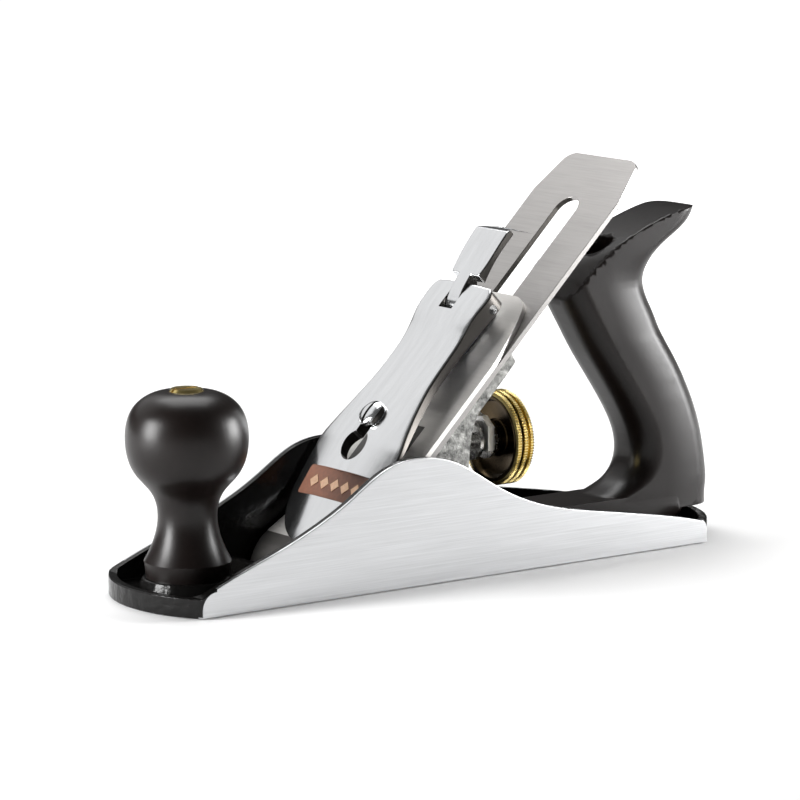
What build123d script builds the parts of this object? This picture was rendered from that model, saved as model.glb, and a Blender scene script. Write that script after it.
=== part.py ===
from build123d import *
import os
from math import atan2, cos, hypot, radians, sin, sqrt

os.makedirs("parts", exist_ok=True)

# Smoothing plane of the adjustable-frog pattern. X runs from toe (-) to heel (+), Y across,
# Z up. The origin is the middle of the sole's ground face. All sizes are in millimetres.

# ---------------------------------------------------------------- driving dimensions
SOLE_LENGTH = 250.0  # toe to heel, on the centre line
SOLE_WIDTH = 61.0  # over the two ground cheeks
TOE_BULGE = 10.5  # how far the toe's arc stands past its corners
HEEL_BULGE = 11.5
SOLE_THICK = 3.5
CHEEK_THICK = 3.3
CHEEK_PEAK = 46.8  # height of the cheeks beside the frog
TOE_WALL = 7.0  # height of the wall round the toe
HEEL_WALL = 9.6

IRON_WIDTH = 50.8
IRON_THICK = 2.0
IRON_LENGTH = 205.5
BEVEL_LENGTH = 3.6
SLOT_WIDTH = 12.0
EDGE_X = -58.4  # where the cutting edge meets the sole
EDGE_REST = 0.1  # the edge sits this far up the bed at rest, clear of the sole's plane

FROG_WIDTH = 47.0
BED_THICK = 5.0
FROG_TOP = 116.5  # measured up the bed from the cutting edge
FRONT_SEAT = 5.0  # height of the step under the frog's front foot
REAR_SEAT = 13.0  # height of the step under the frog's rear foot

CAP_LENGTH = 115.0
CAP_TOE = 14.5  # the lever cap's lip, measured up the bed
CAP_WAIST = 33.0
CAP_SHOULDER = 50.0
CAP_HEAD = 36.4

KNOB_X = -100.7
KNOB_FOOT = 8.5
KNOB_HEIGHT = 66.6
KNOB_BALL = 21.9  # radius of the ball
KNOB_NECK = 10.6  # radius of the neck
KNOB_BASE = 15.6  # radius of the foot

TOTE_WIDTH = 24.4
TOTE_EDGE = 9.5
WHEEL_RADIUS = 17.75
WHEEL_THICK = 7.5
WHEEL_FRONT = 33.5
WHEEL_Z = 44.0
STUD_RADIUS = 3.0

# ---------------------------------------------------------------- clearances
SLIDE_GAP = 0.05  # flat faces that slide on each other
RUN_GAP = 0.05  # radial clearance of a pin or shaft in its hole
FREE_GAP = 0.3  # pieces that move past each other
FROG_TRAVEL = 1.5  # each way, along the sole
FEED_DOWN = 1.0  # iron travel down the bed
FEED_UP = 2.0
CAP_LIFT = 12.9  # the lever cap's way up to the keyhole's large end

# ---------------------------------------------------------------- planes of the sloping bed
# bed: local x runs up the slope, local y is Y, local z stands off the iron's upper face.
# side: local x runs up the slope, local y stands off the iron's upper face.
bed = Plane(origin=(EDGE_X, 0, 0), x_dir=(1, 0, 1), z_dir=(-1, 0, 1))
side = Plane(origin=(EDGE_X, 0, 0), x_dir=(1, 0, 1), z_dir=(0, -1, 0))
SLOPE = sqrt(0.5)
BED_LINE = -EDGE_X - IRON_THICK / SLOPE  # the frog's bed is the plane z = x + BED_LINE


def on_bed(up, off, y=0.0):
    """Point at a place up the bed and off the iron's upper face, as X, Y, Z."""
    return (EDGE_X + SLOPE * (up - off), y, SLOPE * (up + off))


def upright(y):
    """Plane standing along the plane's length at a place across it, X and Z as its axes."""
    return Plane(origin=(0, y, 0), x_dir=(1, 0, 0), z_dir=(0, -1, 0))


half_length = SOLE_LENGTH / 2
half_width = SOLE_WIDTH / 2
toe_corner = -half_length + TOE_BULGE
heel_corner = half_length - HEEL_BULGE

# ---------------------------------------------------------------- body casting
BOSS_RADIUS = 18.5
ROD_RADIUS = 3.0
MOUTH_FRONT = -60.4
MOUTH_WIDTH = SOLE_WIDTH - 2 * CHEEK_THICK - 0.8
MOUTH_SLACK = 0.12  # left behind the iron when the frog is right back
FROG_SCREW_X = -18.0
FROG_SCREW_Y = 13.5
FROG_SCREW_RADIUS = 2.9
SCREW_FLOOR = 1.5  # solid metal left under the frog screws
ADJUST_Z = REAR_SEAT - 3.8
ADJUST_RADIUS = 2.5
SEAT_BACK = 4.0
FRONT_SEAT_END = -30.0
SEAT_FRONT = -45.0
SEAT_STEP = FRONT_SEAT_END + 3.0
SEAT_WIDTH = 44.0
RIB_X = (-68.0, 17.0)
RIB_WIDE = 3.5
RIB_HIGH = 4.5
TOTE_BOSS_X = 112.5
TOTE_BOSS_RADIUS = 7.0
TOTE_BOSS_TOP = 8.5
TOTE_NUT_X = 86.6
TOTE_NUT_Z = 103.3
mouth_gap = FROG_TRAVEL * SLOPE + MOUTH_SLACK

with BuildPart() as body_casting:
    with BuildSketch(Plane.XY) as sole_outline:
        with BuildLine():
            Line((toe_corner, -half_width), (heel_corner, -half_width))
            ThreePointArc((heel_corner, -half_width), (half_length, 0), (heel_corner, half_width))
            Line((heel_corner, half_width), (toe_corner, half_width))
            ThreePointArc((toe_corner, half_width), (-half_length, 0), (toe_corner, -half_width))
        make_face()
    extrude(amount=CHEEK_PEAK + 5)
    with BuildSketch(Plane.XY.offset(SOLE_THICK)):
        add(sole_outline.sketch)
        offset(amount=-CHEEK_THICK, mode=Mode.REPLACE)
    extrude(amount=CHEEK_PEAK + 5, mode=Mode.SUBTRACT)
    # the cheeks' side outline trims the walls
    with BuildSketch(Plane.XZ) as cheek_outline:
        with BuildLine():
            l1 = Polyline(
                (toe_corner + 1.5, TOE_WALL + 1.2),
                (toe_corner - 0.6, TOE_WALL),
                (-half_length - 5, TOE_WALL),
                (-half_length - 5, -1),
                (half_length + 5, -1),
                (half_length + 5, HEEL_WALL),
                (heel_corner + 1, HEEL_WALL),
                (heel_corner - 2.5, 8.6),
            )
            Spline(
                l1 @ 1,
                (85.8, 13.9),
                (61.8, 17.9),
                (38.3, 22.6),
                (15.1, 32.1),
                (-6.0, CHEEK_PEAK - 2.8),
                (-21.0, CHEEK_PEAK),
                (-34.3, CHEEK_PEAK - 2.1),
                (-50.9, 35.1),
                (-64.9, 27.5),
                (-82.0, 20.2),
                (-98.9, 14.0),
                l1 @ 0,
            )
        make_face()
    extrude(amount=SOLE_WIDTH, both=True, mode=Mode.INTERSECT)
    # raised boss under the knob, cross ribs, stepped frog seat, tote boss
    with BuildSketch(Plane.XY.offset(SOLE_THICK)):
        with Locations((KNOB_X, 0)):
            Circle(BOSS_RADIUS)
    extrude(amount=KNOB_FOOT - SOLE_THICK, taper=25)
    with BuildSketch(Plane.XY.offset(SOLE_THICK)):
        for rib_x in RIB_X:
            with Locations((rib_x, 0)):
                Rectangle(RIB_WIDE, SOLE_WIDTH - 2 * CHEEK_THICK + 0.2)
    extrude(amount=RIB_HIGH)
    with BuildSketch(Plane.XY.offset(SOLE_THICK)):
        with Locations(((SEAT_FRONT + SEAT_BACK) / 2, 0)):
            Rectangle(SEAT_BACK - SEAT_FRONT, SEAT_WIDTH)
    extrude(amount=FRONT_SEAT - SOLE_THICK)
    with BuildSketch(Plane.XY.offset(SOLE_THICK)):
        with Locations(((SEAT_STEP + SEAT_BACK) / 2, 0)):
            Rectangle(SEAT_BACK - SEAT_STEP, SEAT_WIDTH)
    extrude(amount=REAR_SEAT - SOLE_THICK)
    with BuildSketch(Plane.XY.offset(SOLE_THICK)):
        with Locations((TOTE_BOSS_X, 0)):
            Circle(TOTE_BOSS_RADIUS)
    extrude(amount=TOTE_BOSS_TOP - SOLE_THICK)
    # mouth: the rear wall follows the iron's slope
    with BuildSketch(Plane.XZ) as mouth_section:
        with BuildLine():
            Polyline(
                (MOUTH_FRONT, -1),
                (MOUTH_FRONT, 1.5),
                (MOUTH_FRONT - 3, FRONT_SEAT + 10),
                (FRONT_SEAT + 10 - BED_LINE + mouth_gap / SLOPE, FRONT_SEAT + 10),
                (-1 - BED_LINE + mouth_gap / SLOPE, -1),
                close=True,
            )
        make_face()
    extrude(amount=MOUTH_WIDTH / 2, both=True, mode=Mode.SUBTRACT)
    # threaded holes, modelled at their thread's outside size
    with Locations((KNOB_X, 0, KNOB_FOOT)):
        Hole(ROD_RADIUS + RUN_GAP, depth=KNOB_FOOT - 1.5)
    with Locations((FROG_SCREW_X, -FROG_SCREW_Y, REAR_SEAT), (FROG_SCREW_X, FROG_SCREW_Y, REAR_SEAT)):
        Hole(FROG_SCREW_RADIUS + RUN_GAP, depth=REAR_SEAT - SOLE_THICK)
    with Locations(Plane(origin=(SEAT_BACK, 0, ADJUST_Z), z_dir=(1, 0, 0))):
        Hole(ADJUST_RADIUS + FREE_GAP, depth=16)
    rod_dir = Vector(TOTE_NUT_X - TOTE_BOSS_X, 0, TOTE_NUT_Z - TOTE_BOSS_TOP).normalized()
    with Locations(Plane(origin=(TOTE_BOSS_X, 0, TOTE_BOSS_TOP), z_dir=rod_dir)):
        Cylinder(ROD_RADIUS + RUN_GAP, 14, mode=Mode.SUBTRACT)
body_casting.part.label = "body_casting"
export_step(body_casting.part, "parts/body_casting.step")

# ---------------------------------------------------------------- front knob and its fixing
NUT_RADIUS = 6.2
NUT_SLEEVE = 4.4
NUT_HEAD = 2.6
NUT_REACH = 16.0
NUT_DOME = 1.0
knob_top = KNOB_FOOT + KNOB_HEIGHT
ball_z = knob_top - 17.2

with BuildPart() as knob:
    with BuildSketch(Plane.XZ) as knob_section:
        with BuildLine():
            foot = Polyline(
                (NUT_RADIUS + 1.0, knob_top),
                (0, knob_top),
                (0, KNOB_FOOT),
                (KNOB_BASE - 0.7, KNOB_FOOT),
                (KNOB_BASE, KNOB_FOOT + 5.9),
            )
            Spline(
                foot @ 1,
                (KNOB_NECK + 1.7, KNOB_FOOT + 13),
                (KNOB_NECK, KNOB_FOOT + 22),
                (KNOB_NECK + 1.9, ball_z - 19.5),
                (KNOB_BALL * 0.84, ball_z - 12.3),
                (KNOB_BALL, ball_z),
                (KNOB_BALL * 0.86, ball_z + 11.5),
                (KNOB_BALL * 0.55, knob_top - 0.9),
                foot @ 0,
            )
        make_face()
    revolve(axis=Axis.Z)
    with Locations((0, 0, knob_top)):
        CounterBoreHole(NUT_SLEEVE + RUN_GAP, NUT_RADIUS + RUN_GAP, NUT_HEAD, depth=NUT_REACH + 2)
    Hole(ROD_RADIUS + 0.4, depth=knob_top)
knob_part = knob.part.moved(Location((KNOB_X, 0, 0)))
knob_part.label = "knob"
export_step(knob_part, "parts/knob.step")


def barrel_nut():
    """Slotted barrel nut standing on Z = 0, head up, with its head's rim at Z = 0."""
    with BuildPart() as nut:
        Cylinder(NUT_RADIUS, NUT_HEAD - 0.2, align=(Align.CENTER, Align.CENTER, Align.MAX))
        with BuildSketch(Plane.XY):
            Circle(NUT_RADIUS)
        extrude(amount=NUT_DOME, taper=40)
        Cylinder(NUT_SLEEVE, NUT_REACH, align=(Align.CENTER, Align.CENTER, Align.MAX))
        with Locations((0, 0, -NUT_REACH / 2 - 1.5)):
            Cylinder(ROD_RADIUS + RUN_GAP, NUT_REACH, mode=Mode.SUBTRACT)
        with Locations((0, 0, NUT_DOME)):
            Box(2 * NUT_RADIUS, 1.4, 2 * NUT_DOME, mode=Mode.SUBTRACT)
    return nut.part


knob_nut = barrel_nut().moved(Location((KNOB_X, 0, knob_top)))
knob_nut.label = "knob_nut"
export_step(knob_nut, "parts/knob_nut.step")

with BuildPart() as knob_bolt:
    with Locations((KNOB_X, 0, 2.0)):
        Cylinder(
            ROD_RADIUS,
            knob_top - NUT_REACH + 8 - 2.0,
            align=(Align.CENTER, Align.CENTER, Align.MIN),
        )
knob_bolt.part.label = "knob_bolt"
export_step(knob_bolt.part, "parts/knob_bolt.step")

# ---------------------------------------------------------------- rear tote and its fixing
HEEL_NOTCH_X = half_length - CHEEK_THICK - 2.6
HEEL_NOTCH_Z = HEEL_WALL + 0.4

# height, front and back of the grip, from its waist in the foot up to the horn
GRIP_STATIONS = (
    (HEEL_NOTCH_Z, 79.5, 134.2),
    (18.0, 84.8, 134.6),
    (22.0, 92.6, 134.5),
    (29.0, 97.2, 133.5),
    (40.0, 96.4, 131.1),
    (52.0, 90.0, 126.6),
    (66.0, 80.3, 119.2),
    (80.0, 71.2, 110.3),
    (92.0, 64.0, 104.2),
    (99.0, 60.2, 102.4),
    (105.5, 57.0, 104.2),
    (111.3, 54.4, 109.6),
    (115.8, 52.6, 116.6),
    (120.0, 51.0, 122.2),
    (127.0, 48.6, 125.6),
)
FOOT_TOP = 16.8
FOOT_FRONT = 50.0

with BuildPart() as tote:
    for station, front, back in GRIP_STATIONS:
        with BuildSketch(Plane.XY.offset(station)):
            with Locations(((front + back) / 2, 0)):
                RectangleRounded(back - front, TOTE_WIDTH, TOTE_EDGE)
    loft()
    # the foot runs forward along the sole
    with BuildSketch(Plane.XY.offset(SOLE_THICK)):
        with Locations(((FOOT_FRONT + HEEL_NOTCH_X) / 2, 0)):
            RectangleRounded(HEEL_NOTCH_X - FOOT_FRONT, TOTE_WIDTH + 1.2, 5)
    extrude(amount=FOOT_TOP - SOLE_THICK, taper=3)
    # the crown: a flat facet with sharp edges, falling forward to the nose
    with BuildSketch(Plane.XZ):
        with BuildLine():
            crown = Spline(
                (60.0, 88.0),
                (66.0, 97.5),
                (72.0, 104.0),
                (82.0, 111.5),
                (98.0, 119.0),
                (112.0, 123.6),
                (123.0, 125.2),
                (130.0, 123.6),
            )
            Polyline(crown @ 1, (160, 123.6), (160, 150), (0, 150), (0, 88), crown @ 0)
        make_face()
    extrude(amount=TOTE_WIDTH, both=True, mode=Mode.SUBTRACT)
    with BuildSketch(Plane.XY.offset(SOLE_THICK)):
        with Locations((TOTE_BOSS_X, 0)):
            Circle(TOTE_BOSS_RADIUS + FREE_GAP)
    extrude(amount=TOTE_BOSS_TOP - SOLE_THICK + FREE_GAP, mode=Mode.SUBTRACT)
    with Locations(Plane(origin=(TOTE_NUT_X, 0, TOTE_NUT_Z), z_dir=rod_dir)):
        CounterBoreHole(
            NUT_SLEEVE + RUN_GAP, NUT_RADIUS + RUN_GAP, NUT_HEAD, depth=NUT_REACH + 2
        )
        Cylinder(ROD_RADIUS + 0.4, 250, mode=Mode.SUBTRACT)
        Cylinder(
            NUT_RADIUS + RUN_GAP, 30, align=(Align.CENTER, Align.CENTER, Align.MIN), mode=Mode.SUBTRACT
        )
tote.part.label = "tote"
export_step(tote.part, "parts/tote.step")

nut_plane = Plane(origin=(TOTE_NUT_X, 0, TOTE_NUT_Z), z_dir=rod_dir)
tote_nut = barrel_nut().moved(nut_plane.location)
tote_nut.label = "tote_nut"
export_step(tote_nut, "parts/tote_nut.step")

tote_rod_length = hypot(TOTE_NUT_X - TOTE_BOSS_X, TOTE_NUT_Z - TOTE_BOSS_TOP) - NUT_REACH + 8 + 5.5
with BuildPart(Plane(origin=(TOTE_BOSS_X, 0, TOTE_BOSS_TOP), z_dir=rod_dir)) as tote_rod:
    with Locations((0, 0, -5.5)):
        Cylinder(ROD_RADIUS, tote_rod_length, align=(Align.CENTER, Align.CENTER, Align.MIN))
tote_rod.part.label = "tote_rod"
export_step(tote_rod.part, "parts/tote_rod.step")

# ---------------------------------------------------------------- frog
WEB_THICK = 4.0
FOOT_THICK = 6.0
FROG_BACK = 6.0
RIB_GAP = 6.2  # between the two middle ribs, for the yoke
RIB_THICK = 3.4
YOKE_X = 17.0
YOKE_Z = 58.0
PIN_RADIUS = 2.0
LEVER_SCREW_UP = 68.4
LEVER_SCREW_RADIUS = 3.1
YOKE_SLOT_UP = SLOPE * (YOKE_X - EDGE_X + YOKE_Z)
YOKE_ARM = -SLOPE * (YOKE_Z - YOKE_X + EDGE_X)  # yoke pin to the iron's upper face
RIVET_UP = 113.0
ROLLER_UP = 105.5
LATERAL_THICK = 1.6
CAP_SCREW_UP = 49.5
CAP_SCREW_HEAD = 7.5
FROG_SCREW_HEAD = 5.2
WASHER_RADIUS = 6.2
WASHER_THICK = 1.5
STUD_BOSS_END = 17.0
STUD_BOSS_RADIUS = 6.5
STUD_DEPTH = 14.0
RIVET_RADIUS = 2.4
CLIP_SCREW_RADIUS = 1.4
CLIP_THICK = 1.5
CLIP_WIDTH = 11.0
CLIP_TOP = REAR_SEAT + FOOT_THICK + 1.5
CLIP_BOTTOM = ADJUST_Z - 2.6
CLIP_Z = REAR_SEAT + 4.2
ADJUST_GROOVE = 1.7
ADJUST_HEAD = ADJUST_Z - SOLE_THICK - 1.1  # its rim stays clear of the sole's floor

with BuildPart() as frog:
    # sloping bed
    with BuildSketch(bed.offset(-IRON_THICK)):
        with Locations((FROG_TOP / 2, 0)):
            RectangleRounded(FROG_TOP, FROG_WIDTH, 7)
        with Locations((FROG_TOP / 4, 0)):
            Rectangle(FROG_TOP / 2, FROG_WIDTH)
    extrude(amount=-BED_THICK)
    # feet on the two steps of the seat, joined by a riser
    with BuildSketch(Plane.XZ):
        with BuildLine():
            Polyline(
                (FRONT_SEAT - BED_LINE - 4, FRONT_SEAT),
                (FRONT_SEAT_END, FRONT_SEAT),
                (FRONT_SEAT_END, REAR_SEAT + SLIDE_GAP),
                (FROG_BACK, REAR_SEAT + SLIDE_GAP),
                (FROG_BACK, REAR_SEAT + FOOT_THICK),
                (FRONT_SEAT_END - 3, REAR_SEAT + FOOT_THICK),
                (FRONT_SEAT_END - 6, FRONT_SEAT + FOOT_THICK),
                (FRONT_SEAT - BED_LINE - 4, FRONT_SEAT + FOOT_THICK),
                close=True,
            )
        make_face()
    extrude(amount=FROG_WIDTH / 2 - 2, both=True)
    # side webs with their hollow rear edge
    for web_y in (FROG_WIDTH / 2, WEB_THICK - FROG_WIDTH / 2):
        with BuildSketch(upright(web_y)):
            with BuildLine():
                web = Polyline(
                    (6.8, 48.0),
                    (5.8, 36.0),
                    (FROG_BACK, REAR_SEAT + SLIDE_GAP),
                    (FRONT_SEAT_END, REAR_SEAT + SLIDE_GAP),
                    (18.0 - BED_LINE, 14.0),
                    (25.5, 24.0 + BED_LINE),
                    (27.4, 76.3),
                )
                Spline(web @ 1, (21.0, 70.0), (14.5, 64.0), (9.0, 56.0), web @ 0)
            make_face()
        extrude(amount=WEB_THICK)
    # two middle ribs carry the yoke pin
    for rib_y in (RIB_GAP / 2 + RIB_THICK, -RIB_GAP / 2):
        with BuildSketch(upright(rib_y)):
            with BuildLine():
                Polyline(
                    (30.0 - BED_LINE, 28.0),
                    (8.0, 6.0 + BED_LINE),
                    (YOKE_X + 1.0, YOKE_Z + 4.6),
                    (YOKE_X + 4.6, YOKE_Z),
                    (YOKE_X + 1.0, YOKE_Z - 4.6),
                    (8.0, WHEEL_Z - 4),
                    (-6.0, WHEEL_Z - 16),
                    close=True,
                )
            make_face()
        extrude(amount=RIB_THICK)
    # boss for the depth stud
    with BuildSketch(Plane(origin=(STUD_BOSS_END, 0, WHEEL_Z), z_dir=(-1, 0, 0))):
        Circle(STUD_BOSS_RADIUS)
    extrude(amount=STUD_BOSS_END + 12)
    # nothing stands above the bed or below the seat's steps
    split(bisect_by=bed.offset(-IRON_THICK), keep=Keep.BOTTOM)
    split(bisect_by=Plane.XY.offset(FRONT_SEAT + SLIDE_GAP), keep=Keep.TOP)
    # recess for the cap-iron screw's head, and the yoke's window
    with BuildSketch(bed.offset(-IRON_THICK)):
        with Locations((CAP_SCREW_UP, 0)):
            SlotOverall(2 * CAP_SCREW_HEAD + 9, 2 * CAP_SCREW_HEAD + 3)
    extrude(amount=-7, mode=Mode.SUBTRACT)
    with BuildSketch(bed.offset(-IRON_THICK)):
        with Locations((YOKE_SLOT_UP, 0)):
            Rectangle(10, RIB_GAP + 0.8)
    extrude(amount=-8.5, mode=Mode.SUBTRACT)
    # shallow bed for the lateral lever, wide enough for its swing
    with BuildSketch(bed.offset(-IRON_THICK)):
        with BuildLine():
            Polyline(
                (ROLLER_UP - 7.5, -9),
                (FROG_TOP + 1, -13),
                (FROG_TOP + 1, 13),
                (ROLLER_UP - 7.5, 9),
                close=True,
            )
        make_face()
    extrude(amount=-LATERAL_THICK - 3 * SLIDE_GAP, mode=Mode.SUBTRACT)
    # screw pockets, long enough for the frog's own travel
    for screw_y in (-FROG_SCREW_Y, FROG_SCREW_Y):
        with BuildSketch(Plane.XY.offset(REAR_SEAT + FOOT_THICK)):
            with Locations((FROG_SCREW_X, screw_y)):
                SlotOverall(2 * (WASHER_RADIUS + FREE_GAP + FROG_TRAVEL), 2 * (WASHER_RADIUS + FREE_GAP))
        extrude(amount=60, mode=Mode.SUBTRACT)
        with BuildSketch(Plane.XY):
            with Locations((FROG_SCREW_X, screw_y)):
                SlotOverall(
                    2 * (FROG_SCREW_RADIUS + FREE_GAP + FROG_TRAVEL), 2 * (FROG_SCREW_RADIUS + FREE_GAP)
                )
        extrude(amount=40, mode=Mode.SUBTRACT)
    # threaded and plain holes
    with Locations(Plane(origin=on_bed(LEVER_SCREW_UP, -IRON_THICK), z_dir=bed.z_dir)):
        Hole(LEVER_SCREW_RADIUS + RUN_GAP, depth=BED_THICK + 6)
    with Locations(Plane(origin=on_bed(RIVET_UP, -IRON_THICK), z_dir=bed.z_dir)):
        Hole(RIVET_RADIUS + RUN_GAP, depth=BED_THICK + 3)
    with Locations(Plane(origin=(YOKE_X, 0, YOKE_Z), z_dir=(0, 1, 0))):
        Cylinder(PIN_RADIUS + RUN_GAP, 4 * RIB_GAP, mode=Mode.SUBTRACT)
    with Locations(Plane(origin=(STUD_BOSS_END, 0, WHEEL_Z), z_dir=(1, 0, 0))):
        Hole(STUD_RADIUS + RUN_GAP, depth=STUD_DEPTH)
    with Locations(Plane(origin=(FROG_BACK, 0, CLIP_Z), z_dir=(1, 0, 0))):
        Hole(CLIP_SCREW_RADIUS + RUN_GAP, depth=8)
frog.part.label = "frog"
export_step(frog.part, "parts/frog.step")


def slotted_screw(shank_radius, shank_length, head_radius, head_height, slot=1.4):
    """Round-headed slotted screw, head up, with the underside of its head at Z = 0."""
    with BuildPart() as screw:
        Cylinder(shank_radius, shank_length, align=(Align.CENTER, Align.CENTER, Align.MAX))
        with BuildSketch(Plane.XY):
            Circle(head_radius)
        extrude(amount=head_height * 0.55)
        with BuildSketch(Plane.XY.offset(head_height * 0.55)):
            Circle(head_radius)
        extrude(amount=head_height * 0.45, taper=48)
        with Locations((0, 0, head_height)):
            Box(3 * head_radius, slot, head_height * 0.9, mode=Mode.SUBTRACT)
    return screw.part


screw_seat = REAR_SEAT + FOOT_THICK + SLIDE_GAP
screw_bite = REAR_SEAT - SOLE_THICK - SCREW_FLOOR
screw_shank = WASHER_THICK + FOOT_THICK + screw_bite
frog_screw = slotted_screw(FROG_SCREW_RADIUS, screw_shank, FROG_SCREW_HEAD, 3.4)
with BuildPart() as frog_screws:
    for screw_y in (-FROG_SCREW_Y, FROG_SCREW_Y):
        add(frog_screw.moved(Location((FROG_SCREW_X, screw_y, screw_seat + WASHER_THICK))))
frog_screws.part.label = "frog_screws"
export_step(frog_screws.part, "parts/frog_screws.step")

with BuildPart() as frog_washers:
    with BuildSketch(Plane.XY.offset(screw_seat)):
        with Locations((FROG_SCREW_X, -FROG_SCREW_Y), (FROG_SCREW_X, FROG_SCREW_Y)):
            Circle(WASHER_RADIUS)
            Circle(FROG_SCREW_RADIUS + RUN_GAP, mode=Mode.SUBTRACT)
    extrude(amount=WASHER_THICK)
frog_washers.part.label = "frog_washers"
export_step(frog_washers.part, "parts/frog_washers.step")

# ---------------------------------------------------------------- frog adjusting screw and its clip
with BuildPart(Plane(origin=(FROG_BACK, 0, ADJUST_Z), z_dir=(1, 0, 0))) as frog_adjusting_screw:
    Cylinder(ADJUST_RADIUS, 12, align=(Align.CENTER, Align.CENTER, Align.MAX))
    Cylinder(ADJUST_GROOVE, CLIP_THICK + 0.4, align=(Align.CENTER, Align.CENTER, Align.MIN))
    with Locations((0, 0, CLIP_THICK + 0.4)):
        Cylinder(ADJUST_HEAD, 4.2, align=(Align.CENTER, Align.CENTER, Align.MIN))
    with Locations((0, 0, CLIP_THICK + 0.4 + 4.2)):
        Box(3 * ADJUST_HEAD, 1.2, 2.8, mode=Mode.SUBTRACT)
frog_adjusting_screw.part.label = "frog_adjusting_screw"
export_step(frog_adjusting_screw.part, "parts/frog_adjusting_screw.step")

with BuildPart() as frog_clip:
    with BuildSketch(Plane(origin=(FROG_BACK + SLIDE_GAP * 2, 0, 0), x_dir=(0, 1, 0), z_dir=(1, 0, 0))):
        with Locations((0, (CLIP_TOP + CLIP_BOTTOM) / 2)):
            Rectangle(CLIP_WIDTH, CLIP_TOP - CLIP_BOTTOM)
        with Locations((0, (ADJUST_Z + CLIP_BOTTOM) / 2 - 1)):
            Rectangle(
                2 * (ADJUST_GROOVE + 0.2), ADJUST_Z - CLIP_BOTTOM + 2, mode=Mode.SUBTRACT
            )
        with Locations((0, ADJUST_Z)):
            Circle(ADJUST_GROOVE + 0.2, mode=Mode.SUBTRACT)
        with Locations((0, CLIP_Z)):
            Circle(CLIP_SCREW_RADIUS + RUN_GAP, mode=Mode.SUBTRACT)
    extrude(amount=CLIP_THICK)
frog_clip.part.label = "frog_clip"
export_step(frog_clip.part, "parts/frog_clip.step")

clip_screw_plane = Plane(
    origin=(FROG_BACK + SLIDE_GAP * 2 + CLIP_THICK, 0, CLIP_Z), z_dir=(1, 0, 0)
)
frog_clip_screw = slotted_screw(CLIP_SCREW_RADIUS, 6.5, 2.6, 2.0, 0.8).moved(clip_screw_plane.location)
frog_clip_screw.label = "frog_clip_screw"
export_step(frog_clip_screw, "parts/frog_clip_screw.step")

# ---------------------------------------------------------------- depth adjustment
PRONG_X = 28.0
PRONG_THICK = 2.8
PRONG_INNER = 5.0
PRONG_OUTER = 8.2
COLLAR_CORE = 4.7
COLLAR_FLANGE = 7.2
GROOVE_WIDTH = 5.2
FLANGE_THICK = 1.4
YOKE_THICK = RIB_GAP - 2 * 0.2
TONGUE_HALF = 2.2

with BuildPart() as depth_stud:
    with Locations(Plane(origin=(STUD_BOSS_END - STUD_DEPTH, 0, WHEEL_Z), z_dir=(1, 0, 0))):
        Cylinder(
            STUD_RADIUS,
            WHEEL_FRONT + WHEEL_THICK + 1.5 - STUD_BOSS_END + STUD_DEPTH,
            align=(Align.CENTER, Align.CENTER, Align.MIN),
        )
depth_stud.part.label = "depth_stud"
export_step(depth_stud.part, "parts/depth_stud.step")

collar_front = Plane(origin=(PRONG_X - GROOVE_WIDTH / 2 - FLANGE_THICK, 0, WHEEL_Z), z_dir=(1, 0, 0))
with BuildPart(collar_front) as depth_collar:
    Cylinder(COLLAR_FLANGE, FLANGE_THICK, align=(Align.CENTER, Align.CENTER, Align.MIN))
    Cylinder(
        COLLAR_CORE, 2 * FLANGE_THICK + GROOVE_WIDTH, align=(Align.CENTER, Align.CENTER, Align.MIN)
    )
    with Locations((0, 0, FLANGE_THICK + GROOVE_WIDTH)):
        Cylinder(COLLAR_FLANGE, FLANGE_THICK, align=(Align.CENTER, Align.CENTER, Align.MIN))
    Cylinder(STUD_RADIUS + RUN_GAP, 60, mode=Mode.SUBTRACT)
depth_collar.part.label = "depth_collar"
export_step(depth_collar.part, "parts/depth_collar.step")

# three knurled rims with two grooves between them, and a dished front face
RIM_WIDTH = 1.7
RIM_GROOVE = 1.2
DISH_DEPTH = 3.0
DISH_RADIUS = 14.0
HUB_RADIUS = 6.5
with BuildPart(Plane(origin=(WHEEL_FRONT, 0, WHEEL_Z), z_dir=(1, 0, 0))) as depth_wheel:
    Cylinder(WHEEL_RADIUS, WHEEL_THICK, align=(Align.CENTER, Align.CENTER, Align.MIN))
    for groove in range(2):
        groove_x = WHEEL_FRONT + RIM_WIDTH + 0.3 + groove * (RIM_WIDTH + RIM_GROOVE)
        with BuildSketch(Plane(origin=(groove_x, 0, WHEEL_Z), z_dir=(1, 0, 0))):
            Circle(WHEEL_RADIUS + 1)
            Circle(WHEEL_RADIUS - RIM_GROOVE, mode=Mode.SUBTRACT)
        extrude(amount=RIM_GROOVE, mode=Mode.SUBTRACT)
    with BuildSketch(Plane(origin=(WHEEL_FRONT, 0, WHEEL_Z), z_dir=(1, 0, 0))):
        Circle(DISH_RADIUS)
        Circle(HUB_RADIUS, mode=Mode.SUBTRACT)
    extrude(amount=DISH_DEPTH, mode=Mode.SUBTRACT)
    Cylinder(STUD_RADIUS + RUN_GAP, 60, mode=Mode.SUBTRACT)
depth_wheel.part.label = "depth_wheel"
export_step(depth_wheel.part, "parts/depth_wheel.step")

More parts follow.
